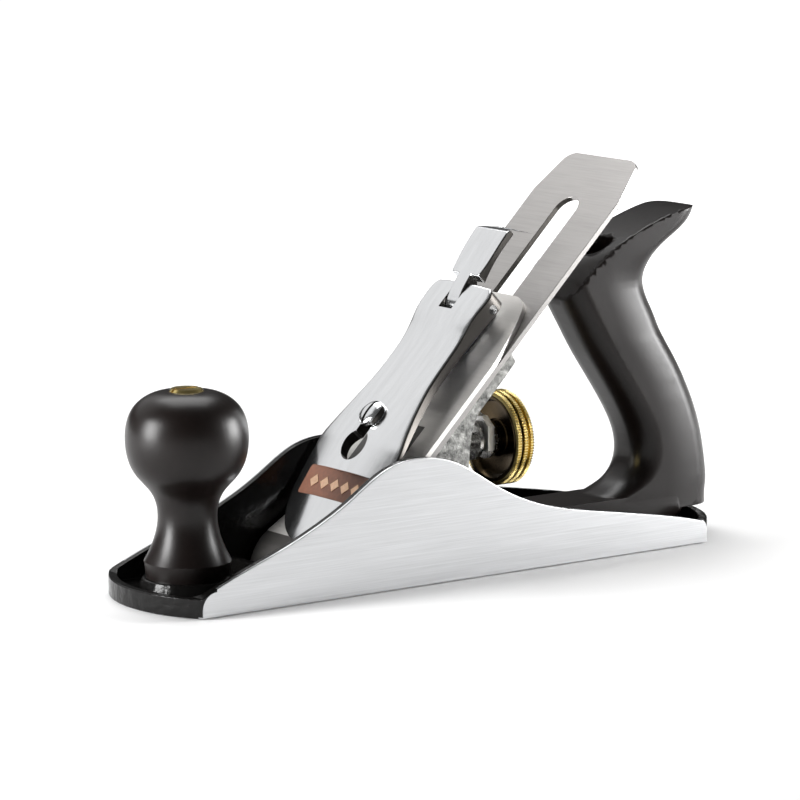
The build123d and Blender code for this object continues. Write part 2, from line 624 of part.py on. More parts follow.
# yoke: a tongue up through the bed, an eye on its pin, and a fork down over the collar
with BuildPart() as yoke:
    with BuildSketch(upright(YOKE_THICK / 2)):
        with Locations((YOKE_X, YOKE_Z)):
            Circle(4.4)
        with BuildLine():
            Polyline(
                (YOKE_X - 3.6, YOKE_Z + 1.5),
                (YOKE_X - SLOPE * (YOKE_ARM + 1.2) - SLOPE * TONGUE_HALF,
                 YOKE_Z + SLOPE * (YOKE_ARM + 1.2) - SLOPE * TONGUE_HALF),
                (YOKE_X - SLOPE * (YOKE_ARM + 1.2) + SLOPE * TONGUE_HALF,
                 YOKE_Z + SLOPE * (YOKE_ARM + 1.2) + SLOPE * TONGUE_HALF),
                (YOKE_X + 1.5, YOKE_Z + 3.8),
                close=True,
            )
        make_face()
        with BuildLine():
            Polyline(
                (YOKE_X + 1.0, YOKE_Z + 4.2),
                (YOKE_X + 4.2, YOKE_Z + 1.0),
                (PRONG_X + PRONG_THICK / 2, WHEEL_Z + COLLAR_FLANGE + 2.0),
                (PRONG_X - PRONG_THICK / 2, WHEEL_Z + COLLAR_FLANGE + 2.0),
                (YOKE_X - 2.0, YOKE_Z - 3.4),
                close=True,
            )
        make_face()
    extrude(amount=YOKE_THICK)
    with BuildSketch(Plane.YZ.offset(PRONG_X - PRONG_THICK / 2)):
        with BuildLine():
            Polyline(
                (-PRONG_OUTER, WHEEL_Z - 3.0),
                (-PRONG_OUTER, WHEEL_Z + 6.0),
                (-4.0, WHEEL_Z + 9.5),
                (4.0, WHEEL_Z + 9.5),
                (PRONG_OUTER, WHEEL_Z + 6.0),
                (PRONG_OUTER, WHEEL_Z - 3.0),
                (PRONG_INNER, WHEEL_Z - 3.0),
                (PRONG_INNER, WHEEL_Z + 4.2),
                (3.0, WHEEL_Z + COLLAR_CORE + 2.0),
                (-3.0, WHEEL_Z + COLLAR_CORE + 2.0),
                (-PRONG_INNER, WHEEL_Z + 4.2),
                (-PRONG_INNER, WHEEL_Z - 3.0),
                close=True,
            )
        make_face()
    extrude(amount=PRONG_THICK)
    with Locations(Plane(origin=(YOKE_X, 0, YOKE_Z), z_dir=(0, 1, 0))):
        Cylinder(PIN_RADIUS + RUN_GAP, 20, mode=Mode.SUBTRACT)
yoke.part.label = "yoke"
export_step(yoke.part, "parts/yoke.step")

with BuildPart(Plane(origin=(YOKE_X, 0, YOKE_Z), z_dir=(0, 1, 0))) as yoke_pin:
    Cylinder(PIN_RADIUS, RIB_GAP + 2 * RIB_THICK + 0.6)
yoke_pin.part.label = "yoke_pin"
export_step(yoke_pin.part, "parts/yoke_pin.step")

# ---------------------------------------------------------------- iron
TAPER_START = 187.0
TOP_HALF = 20.0
KEY_UP = 28.0  # the iron's round hole at the slot's lower end
KEY_RADIUS = 9.5
SLOT_TOP = 185.4
cut = EDGE_REST

with BuildPart() as iron:
    with BuildSketch(bed.offset(-IRON_THICK)):
        with BuildLine():
            blade = Polyline(
                (IRON_LENGTH - 3.4, -TOP_HALF - 1.2),
                (TAPER_START, -IRON_WIDTH / 2),
                (cut, -IRON_WIDTH / 2),
                (cut, IRON_WIDTH / 2),
                (TAPER_START, IRON_WIDTH / 2),
                (IRON_LENGTH - 3.4, TOP_HALF + 1.2),
            )
            shoulder = ThreePointArc(
                blade @ 1, (IRON_LENGTH - 0.9, TOP_HALF - 1.2), (IRON_LENGTH, TOP_HALF - 4)
            )
            end = Line(shoulder @ 1, (IRON_LENGTH, 4 - TOP_HALF))
            ThreePointArc(end @ 1, (IRON_LENGTH - 0.9, 1.2 - TOP_HALF), blade @ 0)
        make_face()
        with Locations(((KEY_UP + SLOT_TOP - SLOT_WIDTH / 2) / 2, 0)):
            Rectangle(SLOT_TOP - SLOT_WIDTH / 2 - KEY_UP, SLOT_WIDTH, mode=Mode.SUBTRACT)
        with Locations((SLOT_TOP - SLOT_WIDTH / 2, 0)):
            Circle(SLOT_WIDTH / 2, mode=Mode.SUBTRACT)
        with Locations((KEY_UP, 0)):
            Circle(KEY_RADIUS, mode=Mode.SUBTRACT)
    extrude(amount=IRON_THICK)
    with BuildSketch(side):
        with BuildLine():
            Polyline(
                (cut, 0), (cut - 1, 0), (cut - 1, -IRON_THICK - 1), (cut + BEVEL_LENGTH, -IRON_THICK - 1),
                (cut + BEVEL_LENGTH, -IRON_THICK), close=True,
            )
        make_face()
    extrude(amount=IRON_WIDTH, both=True, mode=Mode.SUBTRACT)
iron.part.label = "iron"
export_step(iron.part, "parts/iron.step")

# ---------------------------------------------------------------- cap iron
CAP_IRON_THICK = 1.8
CAP_IRON_END = 137.0
CAP_IRON_SET_BACK = 1.0
HUMP_TOP = 4.4
HUMP_UP = 13.0
HUMP_END = 27.0
CAP_SLOT_LOW = LEVER_SCREW_UP - LEVER_SCREW_RADIUS - FEED_UP - 1.0
CAP_SLOT_HIGH = LEVER_SCREW_UP + LEVER_SCREW_RADIUS + FEED_DOWN + 1.0
CAP_SLOT_HALF = LEVER_SCREW_RADIUS + 1.4
CAP_SCREW_RADIUS = 3.0
cap_iron_tip = EDGE_REST + CAP_IRON_SET_BACK

with BuildPart() as cap_iron:
    with BuildSketch(side):
        with BuildLine():
            plate = Polyline(
                (HUMP_END, 0), (CAP_IRON_END, 0), (CAP_IRON_END, CAP_IRON_THICK), (HUMP_END, CAP_IRON_THICK)
            )
            Spline(
                plate @ 1,
                (HUMP_UP + 6.5, HUMP_TOP - 0.9),
                (HUMP_UP, HUMP_TOP),
                (HUMP_UP - 8, HUMP_TOP - 1.9),
                (cap_iron_tip, 0.3),
                tangents=[(-1, 0.15), (-0.7, -0.7)],
            )
            Line((cap_iron_tip, 0.3), (cap_iron_tip, 0))
            Line((cap_iron_tip, 0), (cap_iron_tip + 1.2, 0))
            Spline(
                (cap_iron_tip + 1.2, 0),
                (HUMP_UP - 7, 1.3),
                (HUMP_UP, HUMP_TOP - 1.8),
                (HUMP_UP + 6, 1.7),
                plate @ 0,
                tangents=[(1, 0.4), (1, -0.15)],
            )
        make_face()
    extrude(amount=IRON_WIDTH / 2, both=True)
    # outline: square to two thirds, then narrowing to a rounded end
    with BuildSketch(bed):
        with BuildLine():
            low = Polyline(
                (104.0, -IRON_WIDTH / 2),
                (-5, -IRON_WIDTH / 2),
                (-5, IRON_WIDTH / 2),
                (104.0, IRON_WIDTH / 2),
            )
            right_edge = Spline(low @ 1, (118.5, 23.4), (128.5, 20.6), tangents=[(1, 0), (0.9, -0.42)])
            right_nose = ThreePointArc(right_edge @ 1, (134.6, 16.8), (CAP_IRON_END, 10.8))
            tip = Line(right_nose @ 1, (CAP_IRON_END, -10.8))
            left_nose = ThreePointArc(tip @ 1, (134.6, -16.8), (128.5, -20.6))
            Spline(left_nose @ 1, (118.5, -23.4), low @ 0, tangents=[(-0.9, -0.42), (-1, 0)])
        make_face()
    extrude(amount=20, both=True, mode=Mode.INTERSECT)
    with BuildSketch(bed):
        with Locations(((CAP_SLOT_LOW + CAP_SLOT_HIGH) / 2, 0)):
            SlotOverall(CAP_SLOT_HIGH - CAP_SLOT_LOW, 2 * CAP_SLOT_HALF)
        with Locations((YOKE_SLOT_UP, 0)):
            Rectangle(2 * (TONGUE_HALF + 0.55), RIB_GAP + 3.4)
        with Locations((CAP_SCREW_UP, 0)):
            Circle(CAP_SCREW_RADIUS + RUN_GAP)
    extrude(amount=20, both=True, mode=Mode.SUBTRACT)
cap_iron.part.label = "cap_iron"
export_step(cap_iron.part, "parts/cap_iron.step")

# the cap-iron screw comes up through the iron's slot from below and clamps the two together
screw_down = Plane(origin=on_bed(CAP_SCREW_UP, -IRON_THICK - SLIDE_GAP), z_dir=-bed.z_dir)
cap_iron_screw = slotted_screw(
    CAP_SCREW_RADIUS, IRON_THICK + CAP_IRON_THICK + 1.0, CAP_SCREW_HEAD, 3.2
).moved(screw_down.location)
cap_iron_screw.label = "cap_iron_screw"
export_step(cap_iron_screw, "parts/cap_iron_screw.step")

# ---------------------------------------------------------------- lateral adjustment
LATERAL_TOP = -IRON_THICK - 2 * SLIDE_GAP
BEND_LOW = 119.0
BEND_HIGH = 138.0
BEND_DROP = 6.6
LEVER_END = 163.0
TAB_DROP = 5.0
ROLLER_RADIUS = SLOT_WIDTH / 2 - 0.35
ROLLER_THICK = IRON_THICK - 0.35

ROLLER_PIN_RADIUS = 1.6

with BuildPart() as lateral_lever:
    with BuildSketch(side):
        with BuildLine():
            Polyline(
                (ROLLER_UP - 6, LATERAL_TOP),
                (BEND_LOW, LATERAL_TOP),
                (BEND_HIGH, LATERAL_TOP - BEND_DROP),
                (LEVER_END, LATERAL_TOP - BEND_DROP),
                (LEVER_END, LATERAL_TOP - BEND_DROP - TAB_DROP),
                (LEVER_END - LATERAL_THICK, LATERAL_TOP - BEND_DROP - TAB_DROP),
                (LEVER_END - LATERAL_THICK, LATERAL_TOP - BEND_DROP - LATERAL_THICK),
                (BEND_HIGH - 0.3, LATERAL_TOP - BEND_DROP - LATERAL_THICK),
                (BEND_LOW - 0.3, LATERAL_TOP - LATERAL_THICK),
                (ROLLER_UP - 6, LATERAL_TOP - LATERAL_THICK),
                close=True,
            )
        make_face()
    extrude(amount=8, both=True)
    with BuildSketch(bed):
        with Locations((ROLLER_UP, 0)):
            Circle(4.4)
        with Locations((RIVET_UP, 0)):
            Circle(5.6)
        with Locations(((ROLLER_UP + RIVET_UP) / 2, 0)):
            Rectangle(RIVET_UP - ROLLER_UP, 8.0)
        with Locations(((RIVET_UP + LEVER_END) / 2, 0)):
            Rectangle(LEVER_END - RIVET_UP, 8.4)
        with Locations((LEVER_END - 4, 0)):
            RectangleRounded(8, 14, 2.5)
    extrude(amount=40, both=True, mode=Mode.INTERSECT)
    with Locations(Plane(origin=on_bed(RIVET_UP, LATERAL_TOP), z_dir=bed.z_dir)):
        Cylinder(RIVET_RADIUS + RUN_GAP, 10, mode=Mode.SUBTRACT)
        CounterSinkHole(RIVET_RADIUS + RUN_GAP, RIVET_RADIUS + 0.7, depth=5, counter_sink_angle=90)
    with Locations(Plane(origin=on_bed(ROLLER_UP, LATERAL_TOP), z_dir=bed.z_dir)):
        Cylinder(ROLLER_PIN_RADIUS + RUN_GAP, 10, mode=Mode.SUBTRACT)
lateral_lever.part.label = "lateral_lever"
export_step(lateral_lever.part, "parts/lateral_lever.step")

with BuildPart(Plane(origin=on_bed(RIVET_UP, LATERAL_TOP), z_dir=bed.z_dir)) as lateral_rivet:
    Cylinder(
        RIVET_RADIUS, BED_THICK + 2.4, align=(Align.CENTER, Align.CENTER, Align.MAX)
    )
    with Locations((0, 0, -BED_THICK + LATERAL_TOP + IRON_THICK - 0.1)):
        Cylinder(RIVET_RADIUS + 1.6, 1.3, align=(Align.CENTER, Align.CENTER, Align.MAX))
lateral_rivet.part.label = "lateral_rivet"
export_step(lateral_rivet.part, "parts/lateral_rivet.step")

roller_low = -IRON_THICK - SLIDE_GAP
with BuildPart(Plane(origin=on_bed(ROLLER_UP, roller_low), z_dir=bed.z_dir)) as lateral_roller:
    Cylinder(ROLLER_RADIUS, ROLLER_THICK, align=(Align.CENTER, Align.CENTER, Align.MIN))
    Cylinder(ROLLER_PIN_RADIUS + RUN_GAP, 10, mode=Mode.SUBTRACT)
    with Locations((0, 0, ROLLER_THICK)):
        Cylinder(ROLLER_PIN_RADIUS + 1.1, 1.4, mode=Mode.SUBTRACT)
lateral_roller.part.label = "lateral_roller"
export_step(lateral_roller.part, "parts/lateral_roller.step")

with BuildPart(Plane(origin=on_bed(ROLLER_UP, roller_low), z_dir=bed.z_dir)) as roller_pin:
    with Locations((0, 0, ROLLER_THICK - 0.7 + 0.05)):
        Cylinder(
            ROLLER_PIN_RADIUS,
            ROLLER_THICK + LATERAL_THICK - 0.6,
            align=(Align.CENTER, Align.CENTER, Align.MAX),
        )
        Cylinder(ROLLER_PIN_RADIUS + 0.8, 0.55, align=(Align.CENTER, Align.CENTER, Align.MIN))
roller_pin.part.label = "roller_pin"
export_step(roller_pin.part, "parts/roller_pin.step")

# ---------------------------------------------------------------- lever cap
CAP_FLOOR = 9.0  # underside of the cap's plate, off the iron's upper face
FACE_LOW = (29.0, 8.3)
FACE_HIGH = (57.0, 13.2)
FACE_SCREW = (70.0, 13.7)
FACE_WAIST = (100.0, 13.9)
HEAD_RISE = 16.9
CAP_END = CAP_TOE + CAP_LENGTH
NOTCH_WIDTH = 7.8
NOTCH_UP = 117.3
CAM_UP = 123.6
CAM_OFF = 11.2
CAM_PIN_RADIUS = 1.8
SPRING_THICK = 0.8
SPRING_WIDTH = 15.0
SPRING_RIVET_UP = 92.0
SPRING_RIVET_RADIUS = 1.5
KEYHOLE_UP = LEVER_SCREW_UP - CAP_LIFT
KEYHOLE_RADIUS = 6.4
PANEL_WIDTH = 38.0
PANEL_HEIGHT = 11.8
PANEL_UP = 39.0
PANEL_DEPTH = 1.8
FLANK_START = 13.0  # the face falls away to each side from here
FLANK_END = 27.0
FLANK_DROP = 3.2
PANEL_THICK = 0.5

face_tilt = atan2(FACE_HIGH[1] - FACE_LOW[1], FACE_HIGH[0] - FACE_LOW[0])
face_angle = radians(45) + face_tilt
panel_off = FACE_LOW[1] + (PANEL_UP - FACE_LOW[0]) * (FACE_HIGH[1] - FACE_LOW[1]) / (
    FACE_HIGH[0] - FACE_LOW[0]
)
cap_face = Plane(
    origin=on_bed(PANEL_UP, panel_off),
    x_dir=(cos(face_angle), 0, sin(face_angle)),
    z_dir=(-sin(face_angle), 0, cos(face_angle)),
)

with BuildPart() as lever_cap:
    with BuildSketch(side):
        with BuildLine():
            Polyline(
                (CAP_TOE, HUMP_TOP + SLIDE_GAP),
                (CAP_TOE + 0.4, HUMP_TOP + 1.2),
                (CAP_TOE + 2.5, HUMP_TOP + 1.9),
                FACE_LOW,
                FACE_HIGH,
                FACE_SCREW,
                FACE_WAIST,
                (109.0, 15.0),
                (NOTCH_UP - 1, HEAD_RISE),
                (CAP_END - 1, HEAD_RISE),
                (CAP_END, HEAD_RISE - 1),
                (CAP_END, CAP_FLOOR),
                (58.0, CAP_FLOOR),
                (44.0, HUMP_TOP + 2.3),
                (30.0, HUMP_TOP - 0.6),
                (CAP_TOE + 9, HUMP_TOP - 0.6),
                (CAP_TOE + 5, HUMP_TOP + SLIDE_GAP),
                close=True,
            )
        make_face()
    extrude(amount=IRON_WIDTH / 2, both=True)
    # plan outline: half-round lip, full shoulders, a waist, and a broader head
    with BuildSketch(bed):
        with BuildLine():
            lip = ThreePointArc(
                (CAP_TOE, 0),
                (CAP_TOE + CAP_SHOULDER / 2 * (1 - SLOPE), CAP_SHOULDER / 2 * SLOPE),
                (CAP_TOE + CAP_SHOULDER / 2, CAP_SHOULDER / 2),
            )
            flank = Spline(
                lip @ 1,
                (50.0, CAP_SHOULDER / 2),
                (57.0, CAP_SHOULDER / 2 - 0.4),
                (65.0, 22.2),
                (74.0, 19.6),
                (86.0, CAP_WAIST / 2 + 0.6),
                (100.0, CAP_WAIST / 2),
                (112.0, CAP_WAIST / 2 + 0.6),
                (124.0, CAP_HEAD / 2),
                tangents=[(1, 0), (1, 0.08)],
            )
            corner = ThreePointArc(flank @ 1, (128.1, CAP_HEAD / 2 - 1.3), (CAP_END, CAP_HEAD / 2 - 4.5))
            Line(corner @ 1, (CAP_END, 0))
            Line((CAP_END, 0), lip @ 0)
        make_face()
        mirror(about=Plane.XZ)
    extrude(amount=60, both=True, mode=Mode.INTERSECT)
    # the face falls away to each side
    for flank_side in (-1, 1):
        for reach, drop in ((FLANK_START, 0), (FLANK_END, FLANK_DROP)):
            with BuildSketch(side.offset(flank_side * reach)):
                with BuildLine():
                    Polyline(
                        (CAP_TOE - 1, HUMP_TOP + 1.2 - drop),
                        (CAP_TOE + 0.4, HUMP_TOP + 1.2 - drop),
                        (CAP_TOE + 2.5, HUMP_TOP + 1.9 - drop),
                        (FACE_LOW[0], FACE_LOW[1] - drop),
                        (FACE_HIGH[0], FACE_HIGH[1] - drop),
                        (FACE_SCREW[0], FACE_SCREW[1] - drop),
                        (FACE_WAIST[0], FACE_WAIST[1] - drop),
                        (109.0, 15.0 - drop),
                        (NOTCH_UP - 1, HEAD_RISE - drop),
                        (CAP_END + 1, HEAD_RISE - drop),
                        (CAP_END + 1, 2 * HEAD_RISE),
                        (CAP_TOE - 1, 2 * HEAD_RISE),
                        close=True,
                    )
                make_face()
        loft(ruled=True, mode=Mode.SUBTRACT)
    # keyhole over the screw, notch for the cam, and the pin's hole through the ears
    with BuildSketch(bed):
        with Locations((KEYHOLE_UP, 0)):
            Circle(KEYHOLE_RADIUS)
        with Locations(((KEYHOLE_UP + LEVER_SCREW_UP) / 2, 0)):
            Rectangle(LEVER_SCREW_UP - KEYHOLE_UP, 2 * (LEVER_SCREW_RADIUS + FREE_GAP))
        with Locations((LEVER_SCREW_UP, 0)):
            Circle(LEVER_SCREW_RADIUS + FREE_GAP)
        with Locations(((NOTCH_UP + CAP_END + 5) / 2, 0)):
            Rectangle(CAP_END + 5 - NOTCH_UP, NOTCH_WIDTH)
    extrude(amount=40, both=True, mode=Mode.SUBTRACT)
    with Locations(Plane(origin=on_bed(CAM_UP, CAM_OFF), z_dir=(0, 1, 0))):
        Cylinder(CAM_PIN_RADIUS + 0.02, 2 * IRON_WIDTH, mode=Mode.SUBTRACT)
    with BuildSketch(cap_face.offset(-PANEL_DEPTH)):
        RectangleRounded(PANEL_HEIGHT, PANEL_WIDTH, 1.2)
    extrude(amount=PANEL_DEPTH + 4, mode=Mode.SUBTRACT)
    with Locations(Plane(origin=on_bed(SPRING_RIVET_UP, CAP_FLOOR), z_dir=bed.z_dir)):
        Cylinder(SPRING_RIVET_RADIUS + 0.02, 5, mode=Mode.SUBTRACT)
lever_cap.part.label = "lever_cap"
export_step(lever_cap.part, "parts/lever_cap.step")

# enamelled panel in the cap's recess, with a plain raised border and a row of lozenges
LOZENGE_COUNT = 5
with BuildPart() as cap_panel:
    with BuildSketch(cap_face.offset(-PANEL_DEPTH)):
        RectangleRounded(PANEL_HEIGHT - 0.1, PANEL_WIDTH - 0.1, 1.1)
    extrude(amount=PANEL_THICK)
    with BuildSketch(cap_face.offset(-PANEL_DEPTH + PANEL_THICK)):
        with GridLocations(1, PANEL_WIDTH / (LOZENGE_COUNT + 1), 1, LOZENGE_COUNT):
            Rectangle(3.6, 3.6, rotation=45)
    extrude(amount=0.25)
cap_panel.part.label = "cap_panel"
export_step(cap_panel.part, "parts/cap_panel.step")

# ---------------------------------------------------------------- cam, its pin, and the cap's spring
CAM_HALF = NOTCH_WIDTH / 2 - 0.3
CAM_WIDE = 9.6
CAM_END = 154.5
LOBE = CAM_OFF - CAP_IRON_THICK - SPRING_THICK - 0.6
# the wings start outside the circle that the cap's end corner makes round the pin
neck_end = CAM_UP + hypot(CAP_END - CAM_UP, HEAD_RISE - CAM_OFF) + FREE_GAP

with BuildPart() as cam:
    with BuildSketch(side):
        with Locations((CAM_UP, CAM_OFF)):
            Circle(5.4)
        with BuildLine():
            Polyline(
                (CAM_UP - 4.2, CAM_OFF - 3.2),
                (CAM_UP - 0.8, CAM_OFF - LOBE),
                (CAM_UP + 2.6, CAM_OFF - LOBE),
                (CAM_UP + 5.2, CAM_OFF - 1.4),
                close=True,
            )
        make_face()
        with BuildLine():
            handle = Polyline(
                (CAM_UP - 3.6, CAM_OFF + 3.9),
                (CAM_UP + 4.6, CAM_OFF - 2.6),
                (CAM_UP + 8.4, CAM_OFF + 3.0),
            )
            under = Spline(
                handle @ 1, (141.0, 17.2), (CAM_END + 0.6, 18.0), tangents=[(1, 0.5), (1, 0.05)]
            )
            blunt = Line(under @ 1, (CAM_END - 2.4, 20.8))
            Spline(
                blunt @ 1, (146.0, 20.4), (135.0, 19.0), handle @ 0, tangents=[(-1, -0.02), (-0.8, -0.6)]
            )
        make_face()
    extrude(amount=CAM_WIDE, both=True)
    with BuildSketch(bed):
        with BuildLine():
            neck = Polyline(
                (neck_end, CAM_WIDE - 1.4),
                (neck_end, CAM_HALF),
                (CAM_UP - 12, CAM_HALF),
                (CAM_UP - 12, -CAM_HALF),
                (neck_end, -CAM_HALF),
                (neck_end, 1.4 - CAM_WIDE),
            )
            wing = Spline(
                neck @ 1,
                (137.0, 0.5 - CAM_WIDE),
                (146.0, -CAM_WIDE),
                (CAM_END - 1.5, -CAM_WIDE),
                tangents=[(1, -0.25), (1, 0)],
            )
            brow = ThreePointArc(wing @ 1, (CAM_END + 0.6, 0), (CAM_END - 1.5, CAM_WIDE))
            Spline(
                brow @ 1,
                (146.0, CAM_WIDE),
                (137.0, CAM_WIDE - 0.5),
                neck @ 0,
                tangents=[(-1, 0), (-1, -0.25)],
            )
        make_face()
    extrude(amount=60, both=True, mode=Mode.INTERSECT)
    with Locations(Plane(origin=on_bed(CAM_UP, CAM_OFF), z_dir=(0, 1, 0))):
        Cylinder(CAM_PIN_RADIUS + RUN_GAP, 60, mode=Mode.SUBTRACT)
cam.part.label = "cam"
export_step(cam.part, "parts/cam.step")

with BuildPart(Plane(origin=on_bed(CAM_UP, CAM_OFF), z_dir=(0, 1, 0))) as cam_pin:
    Cylinder(CAM_PIN_RADIUS, CAP_HEAD - 5.0)
cam_pin.part.label = "cam_pin"
export_step(cam_pin.part, "parts/cam_pin.step")

spring_low = CAP_IRON_THICK + 0.3
with BuildPart() as cap_spring:
    with BuildSketch(side):
        with BuildLine():
            Polyline(
                (SPRING_RIVET_UP - 6, CAP_FLOOR),
                (SPRING_RIVET_UP + 4, CAP_FLOOR),
                (SPRING_RIVET_UP + 17, spring_low + SPRING_THICK),
                (CAM_UP + 4, spring_low + SPRING_THICK),
                (CAM_UP + 4, spring_low),
                (SPRING_RIVET_UP + 16.6, spring_low),
                (SPRING_RIVET_UP + 3.6, CAP_FLOOR - SPRING_THICK),
                (SPRING_RIVET_UP - 6, CAP_FLOOR - SPRING_THICK),
                close=True,
            )
        make_face()
    extrude(amount=SPRING_WIDTH / 2, both=True)
    with Locations(Plane(origin=on_bed(SPRING_RIVET_UP, CAP_FLOOR), z_dir=bed.z_dir)):
        Cylinder(SPRING_RIVET_RADIUS + 0.02, 5, mode=Mode.SUBTRACT)
cap_spring.part.label = "cap_spring"
export_step(cap_spring.part, "parts/cap_spring.step")

with BuildPart(
    Plane(origin=on_bed(SPRING_RIVET_UP, CAP_FLOOR - SPRING_THICK), z_dir=bed.z_dir)
) as spring_rivet:
    Cylinder(SPRING_RIVET_RADIUS, SPRING_THICK + 2.4, align=(Align.CENTER, Align.CENTER, Align.MIN))
    Cylinder(SPRING_RIVET_RADIUS + 1.2, 1.0, align=(Align.CENTER, Align.CENTER, Align.MAX))
spring_rivet.part.label = "spring_rivet"
export_step(spring_rivet.part, "parts/spring_rivet.step")

# ---------------------------------------------------------------- lever-cap screw
SCREW_HEAD_RADIUS = 5.4
SCREW_HEAD_OFF = FACE_SCREW[1] + 0.1
lever_cap_screw = slotted_screw(
    LEVER_SCREW_RADIUS, SCREW_HEAD_OFF + IRON_THICK + BED_THICK + 2, SCREW_HEAD_RADIUS, 3.2, 1.3
).moved(Plane(origin=on_bed(LEVER_SCREW_UP, SCREW_HEAD_OFF), z_dir=bed.z_dir).location)
lever_cap_screw.label = "lever_cap_screw"
export_step(lever_cap_screw, "parts/lever_cap_screw.step")
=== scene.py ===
from math import cos, pi, radians, sin

import bmesh
import bpy
from mathutils import Matrix, Vector


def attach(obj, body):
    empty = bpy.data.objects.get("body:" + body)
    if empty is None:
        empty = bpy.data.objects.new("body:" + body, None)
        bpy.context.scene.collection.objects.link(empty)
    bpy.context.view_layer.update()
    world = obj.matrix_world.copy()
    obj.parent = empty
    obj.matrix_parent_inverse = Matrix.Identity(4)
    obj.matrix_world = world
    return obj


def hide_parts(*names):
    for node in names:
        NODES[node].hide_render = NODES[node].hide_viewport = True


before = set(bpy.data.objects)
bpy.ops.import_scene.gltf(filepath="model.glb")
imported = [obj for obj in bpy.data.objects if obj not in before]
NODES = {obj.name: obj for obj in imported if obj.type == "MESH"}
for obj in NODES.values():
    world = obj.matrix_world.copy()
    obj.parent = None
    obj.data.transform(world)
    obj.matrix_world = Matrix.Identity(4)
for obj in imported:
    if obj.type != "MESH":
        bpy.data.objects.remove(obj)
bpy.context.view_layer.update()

MM = 0.001
WHEEL_RADIUS = 17.75
WHEEL_FRONT = 33.5
WHEEL_Z = 44.0
DISH_RADIUS = 16.2
DISH_DEPTH = 4.0

# The cutting edge's line on the sole, and the bed's slope of 45 degrees, as in the frame.
EDGE_X = -58.4 * MM
SLOPE = 0.5 ** 0.5


def on_bed(up, off, y=0.0):
    """Point so far up the bed and off the iron's upper face, all in millimetres."""
    return Vector((EDGE_X + SLOPE * (up - off) * MM, y * MM, SLOPE * (up + off) * MM))


UP_BED = Vector((SLOPE, 0, SLOPE))
OFF_BED = Vector((-SLOPE, 0, SLOPE))

# The lower run of the lever cap's face, as (up, off) at each end, and the panel set in it.
PANEL_UP = 39.0
PANEL_DEPTH = 1.8
PANEL_LIFT = 0.62  # the panel's relief stands above this height over its floor
FACE_LOW = (29.0, 8.3)
FACE_HIGH = (57.0, 13.2)
face_run = UP_BED * (FACE_HIGH[0] - FACE_LOW[0]) + OFF_BED * (FACE_HIGH[1] - FACE_LOW[1])
PANEL_AXIS_UP = face_run.normalized()
PANEL_AXIS_OFF = Vector((-PANEL_AXIS_UP.z, 0, PANEL_AXIS_UP.x))
face_climb = (FACE_HIGH[1] - FACE_LOW[1]) / (FACE_HIGH[0] - FACE_LOW[0])
panel_rise = FACE_LOW[1] + (PANEL_UP - FACE_LOW[0]) * face_climb
PANEL_FLOOR = on_bed(PANEL_UP, panel_rise).dot(PANEL_AXIS_OFF) - PANEL_DEPTH * MM


# ---------------------------------------------------------------- shader maths
class Flow:
    """A socket's value in a material: arithmetic on it adds the Math nodes that do it."""

    def __init__(self, tree, socket):
        self.tree = tree
        self.socket = socket

    def maths(self, operation, *values):
        return add_node(
            self.tree, "ShaderNodeMath", {"operation": operation}, dict(enumerate(values))
        )

    def __add__(self, other):
        return self.maths("ADD", self, other)

    __radd__ = __add__

    def __sub__(self, other):
        return self.maths("SUBTRACT", self, other)

    def __rsub__(self, other):
        return self.maths("SUBTRACT", other, self)

    def __mul__(self, other):
        return self.maths("MULTIPLY", self, other)

    __rmul__ = __mul__

    def __truediv__(self, other):
        return self.maths("DIVIDE", self, other)

    def __pow__(self, other):
        return self.maths("POWER", self, other)

    def __gt__(self, other):
        return self.maths("GREATER_THAN", self, other)

    def __lt__(self, other):
        return self.maths("LESS_THAN", self, other)

    def __abs__(self):
        return self.maths("ABSOLUTE", self)

    def at_least(self, other):
        return self.maths("MAXIMUM", self, other)

    def at_most(self, other):
        return self.maths("MINIMUM", self, other)


def add_node(tree, kind, settings=None, sockets=None, out=0):
    """Any node: its settings first, then its sockets by name or number, as values or links."""
    node = tree.nodes.new(kind)
    for name, value in (settings or {}).items():
        setattr(node, name, value)
    for name, value in (sockets or {}).items():
        socket = node.inputs[name]
        if isinstance(value, Flow):
            tree.links.new(value.socket, socket)
        else:
            socket.default_value = value
    return Flow(tree, node.outputs[out])


